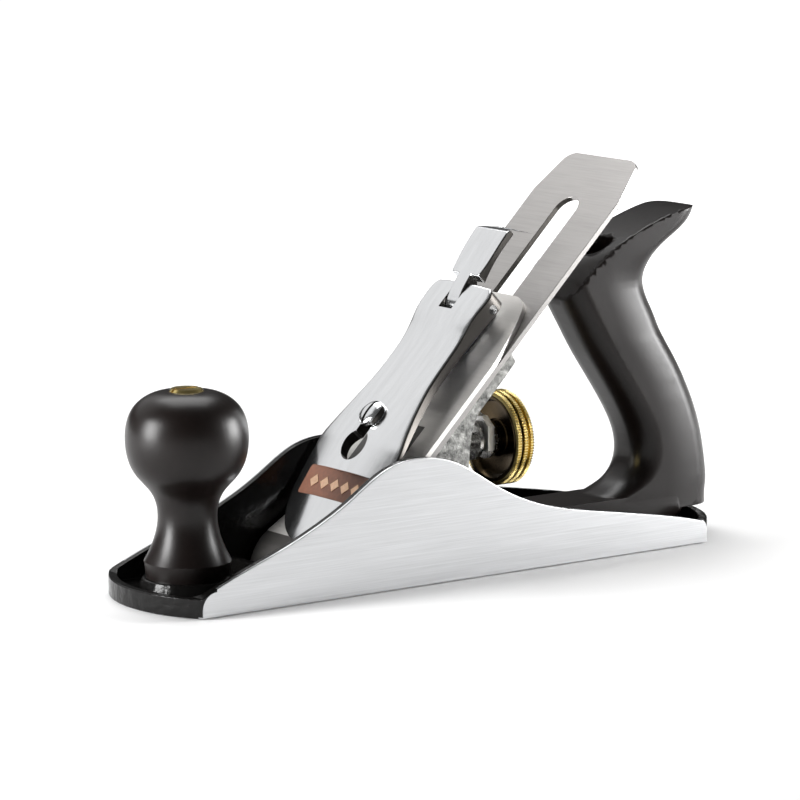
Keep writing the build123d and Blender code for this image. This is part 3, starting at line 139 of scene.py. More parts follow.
class Finish:
    """A material with a Principled shader, and the few patterns that the finishes share."""

    def __init__(self, name, **constants):
        self.material = bpy.data.materials.new(name)
        self.material.use_nodes = True
        self.tree = self.material.node_tree
        self.tree.nodes.clear()
        self.shader = self.tree.nodes.new("ShaderNodeBsdfPrincipled")
        output = self.tree.nodes.new("ShaderNodeOutputMaterial")
        self.tree.links.new(self.shader.outputs[0], output.inputs[0])
        for socket, value in constants.items():
            self.shader.inputs[socket.replace("_", " ")].default_value = value
        self.place = add_node(self.tree, "ShaderNodeTexCoord", out=3)
        self.facing = add_node(self.tree, "ShaderNodeTexCoord", out=1)

    def node(self, kind, settings=None, sockets=None, out=0):
        return add_node(self.tree, kind, settings, sockets, out)

    def feed(self, socket, flow):
        self.tree.links.new(flow.socket, self.shader.inputs[socket])

    def axes(self, of=None):
        """X, Y and Z of the place on the piece, in metres, or of another vector."""
        split = self.tree.nodes.new("ShaderNodeSeparateXYZ")
        self.tree.links.new((of or self.place).socket, split.inputs[0])
        return [Flow(self.tree, split.outputs[i]) for i in range(3)]

    def noise(self, scale, stretch=(1, 1, 1), detail=3.0, roughness=0.5):
        """Noise with so many cells a metre, times the stretch along each axis."""
        stretched = self.node(
            "ShaderNodeMapping",
            {"vector_type": "POINT"},
            {"Vector": self.place, "Scale": stretch},
        )
        return self.node(
            "ShaderNodeTexNoise",
            None,
            {"Vector": stretched, "Scale": scale, "Detail": detail, "Roughness": roughness},
        )

    def blend(self, share, low, high):
        """Colour between two colours or flows."""
        mix = self.tree.nodes.new("ShaderNodeMix")
        mix.data_type = "RGBA"
        for index, value in ((0, share), (6, low), (7, high)):
            if isinstance(value, Flow):
                self.tree.links.new(value.socket, mix.inputs[index])
            else:
                mix.inputs[index].default_value = value
        return Flow(self.tree, mix.outputs[2])

    def bump(self, height, distance, strength=1.0):
        self.feed(
            "Normal",
            self.node(
                "ShaderNodeBump",
                None,
                {"Height": height, "Distance": distance, "Strength": strength},
            ),
        )


def grey(level, tint=(1, 1, 1)):
    return (level * tint[0], level * tint[1], level * tint[2], 1)


# ---------------------------------------------------------------- finishes
GROUND_FACE = 29.5 * MM  # beyond this the cheeks are ground bright
SOLE_EDGE = 0.6 * MM  # the cheeks' bright lower edge, and the sole's flat below it
SOLE_FLAT = 0.03 * MM
TOE_CORNER = 114.6 * MM  # where the ground cheeks end, and how round their upper corners are
TOE_ROUND = 6.0 * MM
TOE_LOW = 3.0 * MM
HEEL_CORNER = 113.6 * MM
HEEL_ROUND = 4.4 * MM
HEEL_LOW = 5.0 * MM
COOL = (0.985, 0.995, 1.01)


def casting_finish():
    """Japanned casting, glossy and a little lumpy, ground bright on its cheeks and sole."""
    f = Finish("japanned_casting", IOR=1.34)
    x, y, z = f.axes()
    toe_reach = (x * -1 - (TOE_CORNER - TOE_ROUND)).at_least(0.0)
    heel_reach = (x - (HEEL_CORNER - HEEL_ROUND)).at_least(0.0)
    toe_rise = (z - TOE_LOW).at_least(0.0)
    heel_rise = (z - HEEL_LOW).at_least(0.0)
    in_toe = (toe_reach * toe_reach + toe_rise * toe_rise) < TOE_ROUND * TOE_ROUND
    in_heel = (heel_reach * heel_reach + heel_rise * heel_rise) < HEEL_ROUND * HEEL_ROUND
    toe_part = toe_reach > 0.0
    heel_part = heel_reach > 0.0
    inside = (1 - toe_part * (1 - in_toe)) * (1 - heel_part * (1 - in_heel))
    side = (abs(y) > GROUND_FACE) * inside
    low_edge = (abs(y) > GROUND_FACE - 0.5 * MM) * (z < SOLE_EDGE)
    bright = side.at_least(z < SOLE_FLAT).at_least(low_edge)
    streaks = f.noise(55.0, (0.35, 6.0, 34.0), detail=4.0, roughness=0.6)
    fine = f.noise(420.0, (0.12, 4.0, 9.0), detail=2.0)
    cloud = f.noise(26.0, detail=2.0)
    lumps = f.noise(330.0, detail=2.0, roughness=0.45)
    grain = f.noise(1900.0, detail=1.0)
    steel = f.blend(streaks * 0.6 + fine * 0.4, grey(0.38, COOL), grey(0.70, COOL))
    paint = f.blend(cloud, (0.002, 0.002, 0.002, 1), (0.006, 0.0055, 0.0052, 1))
    f.feed("Base Color", f.blend(bright, paint, steel))
    f.feed("Metallic", bright)
    f.feed("Roughness", bright * (0.30 + 0.16 * fine) + (1 - bright) * (0.10 + 0.20 * lumps))
    f.bump(
        bright * (streaks * 0.03 + fine * 0.05) + (1 - bright) * (lumps * 0.9 + grain * 0.10),
        0.4 * MM,
        0.8,
    )
    return f.material


def handle_finish():
    """Moulded black handles: deep gloss with a faint brown body and fine moulding ripple."""
    f = Finish("handle_black", IOR=1.36)
    cloud = f.noise(30.0, detail=3.0)
    ripple = f.noise(160.0, detail=2.0)
    specks = f.noise(2600.0, detail=1.0)
    f.feed("Base Color", f.blend(cloud, (0.0035, 0.0022, 0.002, 1), (0.009, 0.0058, 0.005, 1)))
    f.feed("Roughness", 0.27 + 0.08 * cloud + 0.04 * specks)
    f.bump(ripple * 0.5 + specks * 0.03, 0.12 * MM, 0.5)
    return f.material


DARKER_FROM = 0.118  # the iron grows darker from this height down, and is fully so the next length lower
DARKER_RUN = 0.085
SLOT_HALF = 8.0 * MM


def iron_finish():
    """Satin blade steel with a grain across its width, darker a little lower down."""
    f = Finish("blade_steel", IOR=2.5)
    x, y, z = f.axes()
    grain = f.noise(300.0, (6.0, 0.14, 6.0), detail=4.0, roughness=0.65)
    broad = f.noise(40.0, (2.2, 0.6, 2.2), detail=3.0)
    lower = ((DARKER_FROM - z) / DARKER_RUN).at_least(0.0).at_most(1.0)
    tone = grain * 0.55 + broad * 0.3 + 0.35 - lower * 0.34
    facing = f.axes(f.facing)
    # the walls inside the slot are painted near black as shade
    slot_shade = (abs(facing[1]) > 0.3) * (abs(y) < SLOT_HALF)
    ground = f.blend(tone.at_most(1.0), (0.17, 0.163, 0.158, 1), (0.46, 0.445, 0.435, 1))
    f.feed("Base Color", f.blend(slot_shade, ground, (0.07, 0.065, 0.06, 1)))
    f.feed("Metallic", 0.96 + 0.04 * broad)
    f.feed("Roughness", 0.30 + 0.16 * grain)
    f.bump(grain, 0.02 * MM, 0.6)
    return f.material


SHADE_HALF = 14.0 * MM  # the cap iron's painted shade under the keyhole and the lever cap
SHADE_UP = 62.0 * MM
SHADE_REACH = 13.0 * MM
BEND_END = 17.0 * MM  # below this its bent front is painted dark as shade too


def cap_iron_finish():
    """Cap iron: polished steel, painted dark as shade under the lever cap's keyhole and on its bent
    front.
    """
    f = Finish("cap_iron_steel", IOR=2.5)
    x, y, z = f.axes()
    grain = f.noise(260.0, (5.0, 0.2, 5.0), detail=3.0)
    cloud = f.noise(45.0, detail=2.0)
    up = (x - EDGE_X + z) * SLOPE
    painted_shade = (abs(y) < SHADE_HALF) * (abs(up - SHADE_UP) < SHADE_REACH)
    polished = f.blend(grain * 0.5 + cloud * 0.4, (0.66, 0.64, 0.61, 1), (0.90, 0.88, 0.85, 1))
    # the patch under the keyhole and the bent front get a dark painted shade
    low = up < BEND_END
    f.feed("Base Color", f.blend(painted_shade.at_least(low), polished, (0.10, 0.095, 0.09, 1)))
    f.feed("Metallic", 0.72 + 0.1 * cloud)
    f.feed("Roughness", 0.36 + 0.12 * grain)
    f.bump(grain, 0.015 * MM, 0.5)
    return f.material


def chrome_finish():
    """Satin chrome plate over a cast cap: bright, with a soft lengthwise polish, and a painted
    shade on its faces that turn sideways.
    """
    f = Finish("chrome_plate", IOR=2.8, Metallic=1.0)
    polish = f.noise(90.0, (0.7, 5.0, 0.7), detail=2.0)
    orange_peel = f.noise(420.0, detail=2.0)
    facing = f.axes(f.facing)
    # faces turned sideways, the cap's flanks and the walls of its holes, are painted near black as
    # shade
    sideways_shade = ((abs(facing[1]) - 0.55) * 5.0).at_least(0.0).at_most(1.0)
    plate = f.blend(polish, grey(0.82, COOL), grey(0.95, COOL))
    f.feed("Base Color", f.blend(sideways_shade, plate, (0.075, 0.07, 0.065, 1)))
    f.feed("Roughness", 0.13 + 0.08 * polish + 0.03 * orange_peel + 0.2 * sideways_shade)
    f.bump(orange_peel * 0.3 + polish * 0.7, 0.03 * MM, 0.5)
    return f.material


def plated_finish():
    """Nickel-plated small steel parts, with faint turning marks."""
    f = Finish("nickel_plate", IOR=2.4, Metallic=1.0)
    marks = f.noise(700.0, detail=2.0)
    f.feed("Base Color", f.blend(marks, (0.52, 0.51, 0.49, 1), (0.78, 0.77, 0.75, 1)))
    f.feed("Roughness", 0.20 + 0.12 * marks)
    f.bump(marks, 0.02 * MM, 0.5)
    return f.material


def yoke_finish():
    """Pressed steel of the yoke and levers, zinc bright with a drawn grain."""
    f = Finish("yoke_steel", IOR=2.4, Metallic=1.0)
    drawn = f.noise(300.0, (3.0, 3.0, 0.4), detail=3.0)
    f.feed("Base Color", f.blend(drawn, (0.66, 0.66, 0.65, 1), (0.92, 0.91, 0.89, 1)))
    f.feed("Roughness", 0.24 + 0.16 * drawn)
    f.bump(drawn, 0.03 * MM, 0.5)
    return f.material


def spring_finish():
    """Blued spring steel."""
    f = Finish("spring_blue", IOR=2.3, Metallic=1.0)
    temper = f.noise(110.0, detail=2.0)
    f.feed("Base Color", f.blend(temper, (0.10, 0.11, 0.14, 1), (0.24, 0.24, 0.27, 1)))
    f.feed("Roughness", 0.26 + 0.12 * temper)
    return f.material


def brass_finish():
    """Turned brass, polished on its edges and dark over its dished face."""
    f = Finish("turned_brass", IOR=2.2, Metallic=1.0)
    x, y, z = f.axes()
    cloud = f.noise(170.0, detail=3.0)
    turning = f.noise(900.0, (5.0, 0.4, 0.4), detail=2.0)
    high = z - WHEEL_Z * MM
    in_dish = (y * y + high * high) ** 0.5 < DISH_RADIUS * MM
    dish = in_dish * (abs(x - WHEEL_FRONT * MM) < DISH_DEPTH * MM)
    bright = f.blend(cloud * 0.6 + turning * 0.4, (0.58, 0.42, 0.12, 1), (0.92, 0.78, 0.38, 1))
    dish_dark = f.blend(cloud, (0.022, 0.016, 0.010, 1), (0.10, 0.07, 0.035, 1))
    f.feed("Base Color", f.blend(dish, bright, dish_dark))
    f.feed("Roughness", 0.18 + 0.14 * cloud)
    f.bump(turning, 0.03 * MM, 0.5)
    return f.material


def frog_finish():
    """Frog casting: grey enamel over a mottled sand-cast skin."""
    f = Finish("frog_casting", IOR=1.5, Coat_Roughness=0.2)
    skin = f.noise(330.0, detail=4.0, roughness=0.65)
    mottle = ((skin - 0.5) * 2.6 + 0.45).at_least(0.0).at_most(1.0)
    pits = f.noise(1200.0, detail=2.0)
    f.feed("Base Color", f.blend(mottle, (0.03, 0.03, 0.028, 1), (0.42, 0.42, 0.40, 1)))
    f.feed("Metallic", 0.25 + 0.5 * mottle)
    f.feed("Roughness", 0.34 + 0.25 * pits)
    f.bump(mottle * 0.6 + pits * 0.3, 0.25 * MM, 0.8)
    return f.material


def panel_finish():
    """Panel in the cap: coppery relief over dark brown enamel."""
    f = Finish("copper_panel", IOR=1.8)
    x, y, z = f.axes()
    lift = (x * PANEL_AXIS_OFF.x + z * PANEL_AXIS_OFF.z) - PANEL_FLOOR
    relief = lift > PANEL_LIFT * MM
    wear = f.noise(800.0, detail=3.0)
    copper = f.blend(wear, (0.62, 0.34, 0.18, 1), (0.95, 0.70, 0.52, 1))
    enamel = f.blend(wear, (0.09, 0.03, 0.014, 1), (0.25, 0.09, 0.042, 1))
    f.feed("Base Color", f.blend(relief, enamel, copper))
    f.feed("Metallic", 0.15 + 0.75 * relief)
    f.feed("Roughness", 0.42 - 0.14 * relief + 0.10 * wear)
    f.bump(wear, 0.05 * MM, 0.6)
    return f.material


SWEEP_START = 0.35  # the floor brightens from this far out


def floor_finish():
    """Pale matt studio floor, lit from below a little more with the distance, as a sweep is."""
    f = Finish("studio_floor", Roughness=0.9, IOR=1.2, Emission_Strength=1.0)
    x, y, z = f.axes()
    away = (((x * x + y * y) ** 0.5 - SWEEP_START) * 1.5).at_least(0.0).at_most(1.0)
    shade = f.noise(2.0, detail=1.0)
    f.feed("Base Color", f.blend(shade, grey(0.92), grey(0.94)))
    f.feed("Emission Color", f.blend(away, grey(0.02), grey(1.0)))
    return f.material


# ---------------------------------------------------------------- mesh tools
def mesh_piece(name, mesh, material, body, slot, *stands_for):
    """Puts a finished mesh in the scene on its body, in place of CAD nodes."""
    mesh.name = name
    mesh.materials.clear()
    mesh.materials.append(material)
    piece = bpy.data.objects.new(name, mesh)
    bpy.context.scene.collection.objects.link(piece)
    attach(piece, body)
    if stands_for:
        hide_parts(*stands_for)
    return piece


WELD = 0.001 * MM
FLAT_ANGLE = 0.4  # faces that lie within this many degrees of each other are one


def merged_copy(node):
    """The node's triangles as one joined skin, flat regions made single faces."""
    bm = bmesh.new()
    bm.from_mesh(NODES[node].data)
    bmesh.ops.remove_doubles(bm, verts=bm.verts, dist=WELD)
    bmesh.ops.dissolve_limit(
        bm,
        angle_limit=radians(FLAT_ANGLE),
        verts=bm.verts,
        edges=bm.edges,
        use_dissolve_boundaries=False,
    )
    bm.normal_update()
    mesh = bpy.data.meshes.new(node + "_skin")
    bm.to_mesh(mesh)
    bm.free()
    return mesh


def applied(mesh, *modifiers):
    """The mesh with modifiers, given as (type, settings), applied to it."""
    worker = bpy.data.objects.new("worker", mesh)
    bpy.context.scene.collection.objects.link(worker)
    for kind, settings in modifiers:
        modifier = worker.modifiers.new(kind.lower(), kind)
        for name, value in settings.items():
            setattr(modifier, name, value)
    graph = bpy.context.evaluated_depsgraph_get()
    made = bpy.data.meshes.new_from_object(worker.evaluated_get(graph), depsgraph=graph)
    bpy.data.objects.remove(worker)
    return made


def softened(name, node, material, body, slot, width, segments=2, sharp=32):
    """A CAD piece with its sharp edges rounded, as a fettled or moulded one has them."""
    mesh = merged_copy(node)
    mesh.shade_smooth()
    mesh.set_sharp_from_angle(angle=radians(sharp))
    made = applied(
        mesh,
        (
            "BEVEL",
            {
                "width": width,
                "segments": segments,
                "limit_method": "ANGLE",
                "angle_limit": radians(sharp),
                "use_clamp_overlap": False,
                "harden_normals": False,
                "miter_outer": "MITER_ARC",
            },
        ),
        ("WEIGHTED_NORMAL", {"keep_sharp": True, "weight": 60}),
    )
    return mesh_piece(name, made, material, body, slot, node)


def lathe(profile, segments, origin, axis):
    """Closed skin turned round an axis through origin, from a closed loop of (along, radius)."""
    axis = axis.normalized()
    across = Vector((0, 1, 0)) if abs(axis.y) < 0.9 else Vector((1, 0, 0))
    third = axis.cross(across)
    bm = bmesh.new()
    rings = []
    for along, radius in profile:
        ring = []
        for step in range(segments):
            turn = 2 * pi * step / segments
            arm = across * cos(turn) + third * sin(turn)
            ring.append(bm.verts.new(origin + axis * along + arm * radius))
        rings.append(ring)
    for first, second in zip(rings, rings[1:] + rings[:1]):
        for step in range(segments):
            other = (step + 1) % segments
            bm.faces.new((first[step], first[other], second[other], second[step]))
    bmesh.ops.recalc_face_normals(bm, faces=bm.faces)
    mesh = bpy.data.meshes.new("lathe")
    bm.to_mesh(mesh)
    bm.free()
    mesh.shade_smooth()
    mesh.set_sharp_from_angle(angle=radians(40))
    return mesh


def joined(meshes):
    """Several meshes as one."""
    bm = bmesh.new()
    for mesh in meshes:
        bm.from_mesh(mesh)
    made = bpy.data.meshes.new("joined")
    bm.to_mesh(made)
    bm.free()
    return made


# ---------------------------------------------------------------- repeated shapes
def tooth_tree():
    """Knurled rims: rows of three-sided teeth round the Z axis, as a Geometry Nodes tree."""
    tree = bpy.data.node_groups.new("knurled_rims", "GeometryNodeTree")
    inputs = {}
    for name, kind in (
        ("Radius", "NodeSocketFloat"),
        ("Teeth", "NodeSocketInt"),
        ("Tooth Size", "NodeSocketFloat"),
        ("Rim Width", "NodeSocketFloat"),
        ("Rims", "NodeSocketInt"),
        ("Rim Pitch", "NodeSocketFloat"),
        ("Finish", "NodeSocketMaterial"),
    ):
        inputs[name] = tree.interface.new_socket(name, in_out="INPUT", socket_type=kind)
    tree.interface.new_socket("Geometry", in_out="OUTPUT", socket_type="NodeSocketGeometry")
    enter = tree.nodes.new("NodeGroupInput")
    leave = tree.nodes.new("NodeGroupOutput")

    def make(kind, settings=None, links=None):
        node = tree.nodes.new(kind)
        for name, value in (settings or {}).items():
            setattr(node, name, value)
        for socket, source in (links or {}).items():
            if isinstance(source, bpy.types.NodeSocket):
                tree.links.new(source, node.inputs[socket])
            else:
                node.inputs[socket].default_value = source
        return node

    given = {socket.name: socket for socket in enter.outputs}
    tooth = make(
        "GeometryNodeMeshCylinder",
        None,
        {"Vertices": 3, "Radius": given["Tooth Size"], "Depth": given["Rim Width"]},
    )
    circle = {"Vertices": given["Teeth"], "Radius": given["Radius"]}
    ring = make("GeometryNodeMeshCircle", None, circle)
    index = make("GeometryNodeInputIndex")
    turns = {0: index.outputs[0], 1: given["Teeth"]}
    share = make("ShaderNodeMath", {"operation": "DIVIDE"}, turns)
    angle = make("ShaderNodeMath", {"operation": "MULTIPLY"}, {0: share.outputs[0], 1: 2 * pi})
    turn = make("ShaderNodeCombineXYZ", None, {"Z": angle.outputs[0]})
    row = make(
        "GeometryNodeInstanceOnPoints",
        None,
        {
            "Points": ring.outputs[0],
            "Instance": tooth.outputs["Mesh"],
            "Rotation": turn.outputs[0],
        },
    )
    step = make("ShaderNodeCombineXYZ", None, {"Z": given["Rim Pitch"]})
    line = make("GeometryNodeMeshLine", None, {"Count": given["Rims"], "Offset": step.outputs[0]})
    stacked = {"Points": line.outputs[0], "Instance": row.outputs[0]}
    rows = make("GeometryNodeInstanceOnPoints", None, stacked)
    real = make("GeometryNodeRealizeInstances", None, {"Geometry": rows.outputs[0]})
    painted = make(
        "GeometryNodeSetMaterial", None, {"Geometry": real.outputs[0], "Material": given["Finish"]}
    )
    tree.links.new(painted.outputs[0], leave.inputs[0])
    return tree, {name: socket.identifier for name, socket in inputs.items()}


def grown(tree, identifiers, values):
    """The plain mesh that a Geometry Nodes tree makes with these input values."""
    worker = bpy.data.objects.new("worker", bpy.data.meshes.new("empty"))
    bpy.context.scene.collection.objects.link(worker)
    modifier = worker.modifiers.new("shape", "NODES")
    modifier.node_group = tree
    for name, value in values.items():
        modifier[identifiers[name]] = value
    graph = bpy.context.evaluated_depsgraph_get()
    made = bpy.data.meshes.new_from_object(worker.evaluated_get(graph), depsgraph=graph)
    bpy.data.objects.remove(worker)
    return made


# ---------------------------------------------------------------- pieces
TOOTH_SIZE = 0.62
TOOTH_ROOT = 0.12  # how deep each tooth's centre is set in the rim
GROOVE_DEPTH = 1.9
WHEEL_BORE = 3.05
WHEEL_THICK = 7.5
FIRST_RIM = 1.05  # middle of the first rim, from the wheel's front
TEETH = 104


def depth_wheel(material):
    """Brass depth wheel: three knurled rims, two grooves, a dished face and a hub."""
    rim = WHEEL_RADIUS - TOOTH_SIZE + TOOTH_ROOT
    groove = WHEEL_RADIUS - GROOVE_DEPTH
    hub = [(0.0, WHEEL_BORE), (0.0, 6.1), (0.25, 6.45), (2.6, 6.7)]
    dish = [(3.0, 7.2), (3.0, 12.6), (2.6, 13.6), (0.6, 14.4), (0.0, 14.9)]
    front_rim = [(0.0, rim - 0.5), (0.25, rim), (1.95, rim), (2.1, groove), (3.1, groove)]
    middle_rim = [(3.3, rim), (4.75, rim), (4.95, groove), (6.0, groove)]
    back_rim = [(6.15, rim), (7.3, rim), (WHEEL_THICK, rim - 0.4), (WHEEL_THICK, WHEEL_BORE)]
    loop = hub + dish + front_rim + middle_rim + back_rim
    origin = Vector((WHEEL_FRONT, 0, WHEEL_Z)) * MM
    turned = lathe([(a * MM, r * MM) for a, r in loop], 144, origin, Vector((1, 0, 0)))
    tree, identifiers = tooth_tree()
    teeth = grown(
        tree,
        identifiers,
        {
            "Radius": (WHEEL_RADIUS - TOOTH_SIZE) * MM,
            "Teeth": TEETH,
            "Tooth Size": TOOTH_SIZE * MM,
            "Rim Width": 1.45 * MM,
            "Rims": 3,
            "Rim Pitch": 2.82 * MM,
            "Finish": material,
        },
    )
    first_rim = Matrix.Translation(origin + Vector((FIRST_RIM * MM, 0, 0)))
    teeth.transform(first_rim @ Matrix.Rotation(pi / 2, 4, "Y"))
    mesh = joined([turned, teeth])
    mesh.shade_smooth()
    mesh.set_sharp_from_angle(angle=radians(35))
    return mesh_piece("depth_wheel_knurled", mesh, material, "wheel", "brass", "depth_wheel")


CAP_TOE = 14.5
CAP_END = 129.5
CAP_RUN_STEPS = 80
FACE_FLAT = 6.0  # half width of the face's flat middle, and how far it drops 19 mm past it
FACE_DROP = 2.5
CAP_ROUND = 0.8  # radius of the cap's polished edges
LIP_RADIUS = 25.0
# the cap's half width past its round lip, its top and its underside, along the bed
CAP_HALF = [(39.5, 25.0), (50, 25.0), (57, 24.6), (65, 22.2), (74, 19.6), (86, 17.1), (100, 16.5)]
CAP_HALF += [(112, 17.1), (124, 18.2), (127.2, 17.6), (128.9, 16.2), (129.5, 14.4)]
CAP_TOP = [(14.5, 5.7), (17, 6.3), (23, 7.25), (29, 8.3), (38, 9.88), (48, 11.63), (54, 12.68)]
CAP_TOP += [(58, 13.3), (63, 13.6), (70, 13.75), (100, 13.95), (105, 14.4), (109, 15.1)]
CAP_TOP += [(113, 16.1), (117, 16.8), (121, 16.9), (130, 16.9)]
CAP_UNDER = [(14.5, 4.45), (19.5, 4.45), (23.5, 3.8), (30, 3.8), (44, 6.7), (58, 9.0), (130, 9.0)]
KEYHOLE_UP = 55.5
KEYHOLE_RADIUS = 6.4
NECK_WIDE = 6.8
SCREW_UP = 68.4
SHANK_HOLE = 3.4
CAM_UP = 123.6
CAM_OFF = 11.2
CAM_PIN_HOLE = 1.82
NOTCH_LOW = 117.3  # foot and width of the notch that the cam stands in
NOTCH_WIDE = 7.8
RECESS_HIGH = 11.8  # the panel's recess
RECESS_WIDE = 38.0
RECESS_CORNER = 1.2


def smooth_through(points, at):
    """Height of a smooth line through the points, that keeps within each pair's slopes."""
    for k in range(len(points) - 1):
        (a, low), (b, high) = points[k], points[k + 1]
        if at <= b or k == len(points) - 2:
            slope = (high - low) / (b - a)
            before = slope if k == 0 else (low - points[k - 1][1]) / (a - points[k - 1][0])
            last = k == len(points) - 2
            after = slope if last else (points[k + 2][1] - high) / (points[k + 2][0] - b)
            start = (before + slope) / 2 if before * slope > 0 else 0.0
            stop = (after + slope) / 2 if after * slope > 0 else 0.0
            t = max(0.0, (at - a) / (b - a))
            return (
                low * (1 + 2 * t) * (1 - t) ** 2
                + start * (b - a) * t * (1 - t) ** 2
                + high * t * t * (3 - 2 * t)
                + stop * (b - a) * t * t * (t - 1)
            )


def cap_half_width(up):
    if up < CAP_TOE + LIP_RADIUS:
        return max(LIP_RADIUS**2 - (CAP_TOE + LIP_RADIUS - up) ** 2, 0.04) ** 0.5
    return smooth_through(CAP_HALF, up)


def fall_away(across):
    """How far the cap's face has dropped at a place across it."""
    return FACE_DROP * max(0.0, (abs(across) - FACE_FLAT) / 19.0) ** 1.6


def prism(outline, low, high, place):
    """Closed prism of a plan outline, between two heights, through place(x, y, z)."""
    bm = bmesh.new()
    floor_ring = [bm.verts.new(place(a, b, low)) for a, b in outline]
    roof_ring = [bm.verts.new(place(a, b, high)) for a, b in outline]
    count = len(outline)
    bm.faces.new(floor_ring)
    bm.faces.new(roof_ring)
    for k in range(count):
        n = (k + 1) % count
        bm.faces.new((floor_ring[k], floor_ring[n], roof_ring[n], roof_ring[k]))
    bmesh.ops.recalc_face_normals(bm, faces=bm.faces)
    mesh = bpy.data.meshes.new("prism")
    bm.to_mesh(mesh)
    bm.free()
    return mesh


def round_outline(up, across, radius, steps=48):
    turns = [2 * pi * k / steps for k in range(steps)]
    return [(up + radius * cos(t), across + radius * sin(t)) for t in turns]


def box_outline(up, across, high, wide, corner=0.01, steps=6):
    """Plan outline of a rectangle with rounded corners."""
    points = []
    for quarter, (sx, sy) in enumerate(((1, 1), (-1, 1), (-1, -1), (1, -1))):
        for k in range(steps + 1):
            turn = pi / 2 * (quarter + k / steps)
            x = sx * (high / 2 - corner) + corner * cos(turn)
            y = sy * (wide / 2 - corner) + corner * sin(turn)
            points.append((up + x, across + y))
    return points


def carved(mesh, cutters):
    """The mesh less each cutter."""
    tools = []
    for cutter in cutters:
        tool = bpy.data.objects.new("cutter", cutter)
        bpy.context.scene.collection.objects.link(tool)
        tools.append(("BOOLEAN", {"operation": "DIFFERENCE", "solver": "EXACT", "object": tool}))
    made = applied(mesh, *tools)
    for _, settings in tools:
        bpy.data.objects.remove(settings["object"])
    return made


def cap_blank():
    """The lever cap before its holes: a crowned plate with rounded edges and a round lip."""
    corner = [k / 5 for k in range(6)]
    lip = [CAP_TOE + LIP_RADIUS * (1 - cos(radians(a))) for a in range(3, 90, 4)]
    start = CAP_TOE + LIP_RADIUS
    length = CAP_END - CAP_ROUND - CAP_TOE - LIP_RADIUS
    run = [start + length * k / CAP_RUN_STEPS for k in range(CAP_RUN_STEPS + 1)]
    turn = [CAP_END - CAP_ROUND * (1 - sin(pi / 2 * c)) for c in corner[1:]]
    across = [-1 + k / 14 for k in range(29)]
    bm = bmesh.new()
    rows = []
    for up in lip + run + turn:
        half = cap_half_width(up)
        edge = min(CAP_ROUND, half * 0.5)
        past = max(0.0, (up - (CAP_END - CAP_ROUND)) / CAP_ROUND)
        end_drop = CAP_ROUND * (1 - max(0.0, 1 - past * past) ** 0.5)
        top = smooth_through(CAP_TOP, up)
        low = smooth_through(CAP_UNDER, up)
        row = []
        for side in (-1, 1):
            turns = [pi / 2 * c for c in (corner[:0:-1] if side < 0 else corner[1:])]
            arc = [(side * (half - edge + edge * sin(t)), edge * (1 - cos(t))) for t in turns]
            if side > 0:
                row += [((half - edge) * t, 0.0) for t in across]
            row += arc
        ring = []
        for y, drop in row:
            height = max(top - fall_away(y) - max(drop, end_drop), low + 0.2)
            ring.append(bm.verts.new(on_bed(up, height, y)))
        for y, _ in reversed(row):
            ring.append(bm.verts.new(on_bed(up, low, y)))
        rows.append(ring)
    for first, second in zip(rows, rows[1:]):
        for k in range(len(first)):
            n = (k + 1) % len(first)
            bm.faces.new((first[k], first[n], second[n], second[k]))
    for ring in (rows[0], rows[-1]):
        half_way = len(ring) // 2
        for k in range(half_way - 1):
            bm.faces.new((ring[k], ring[k + 1], ring[-2 - k], ring[-1 - k]))
    bmesh.ops.recalc_face_normals(bm, faces=bm.faces)
    mesh = bpy.data.meshes.new("cap_blank")
    bm.to_mesh(mesh)
    bm.free()
    return mesh


def lever_cap(material):
    """Plated lever cap with its keyhole, its cam's notch, its pin's hole and its panel's recess."""

    def through(up, across, off):
        return on_bed(up, off, across)

    def along_pin(up, off, across):
        return on_bed(up, off, across)

    def on_face(up, across, off):
        here = PANEL_AXIS_UP * (up * MM) + PANEL_AXIS_OFF * (off * MM)
        return on_bed(PANEL_UP, panel_rise) + here + Vector((0, across * MM, 0))

    neck = box_outline((KEYHOLE_UP + SCREW_UP) / 2, 0, SCREW_UP - KEYHOLE_UP, NECK_WIDE)
    notch = box_outline(CAP_END, 0, 2 * (CAP_END - NOTCH_LOW), NOTCH_WIDE)
    recess = box_outline(0, 0, RECESS_HIGH, RECESS_WIDE, RECESS_CORNER)
    cutters = [
        prism(round_outline(KEYHOLE_UP, 0, KEYHOLE_RADIUS), 0, 30, through),
        prism(neck, -1, 31, through),
        prism(round_outline(SCREW_UP, 0, SHANK_HOLE), -2, 32, through),
        prism(notch, 0, 30, through),
        prism(round_outline(CAM_UP, CAM_OFF, CAM_PIN_HOLE, 24), -30, 30, along_pin),
        prism(recess, -PANEL_DEPTH, 6, on_face),
    ]
    mesh = carved(cap_blank(), cutters)
    mesh.shade_smooth()
    mesh.set_sharp_from_angle(angle=radians(38))
    return mesh_piece("lever_cap_plated", mesh, material, "cap", "chrome", "lever_cap")


CROWN_REACH = 24.0  # how far in from the tote's back edge its sides start to round away
CROWN_FALL = 0.26  # share of the thickness rounded away at the back edge
CROWN_STEP = 3.0
CROWN_TOP = 112.0  # the rounding dies out below the horn, over the last CROWN_FADE
CROWN_FADE = 16


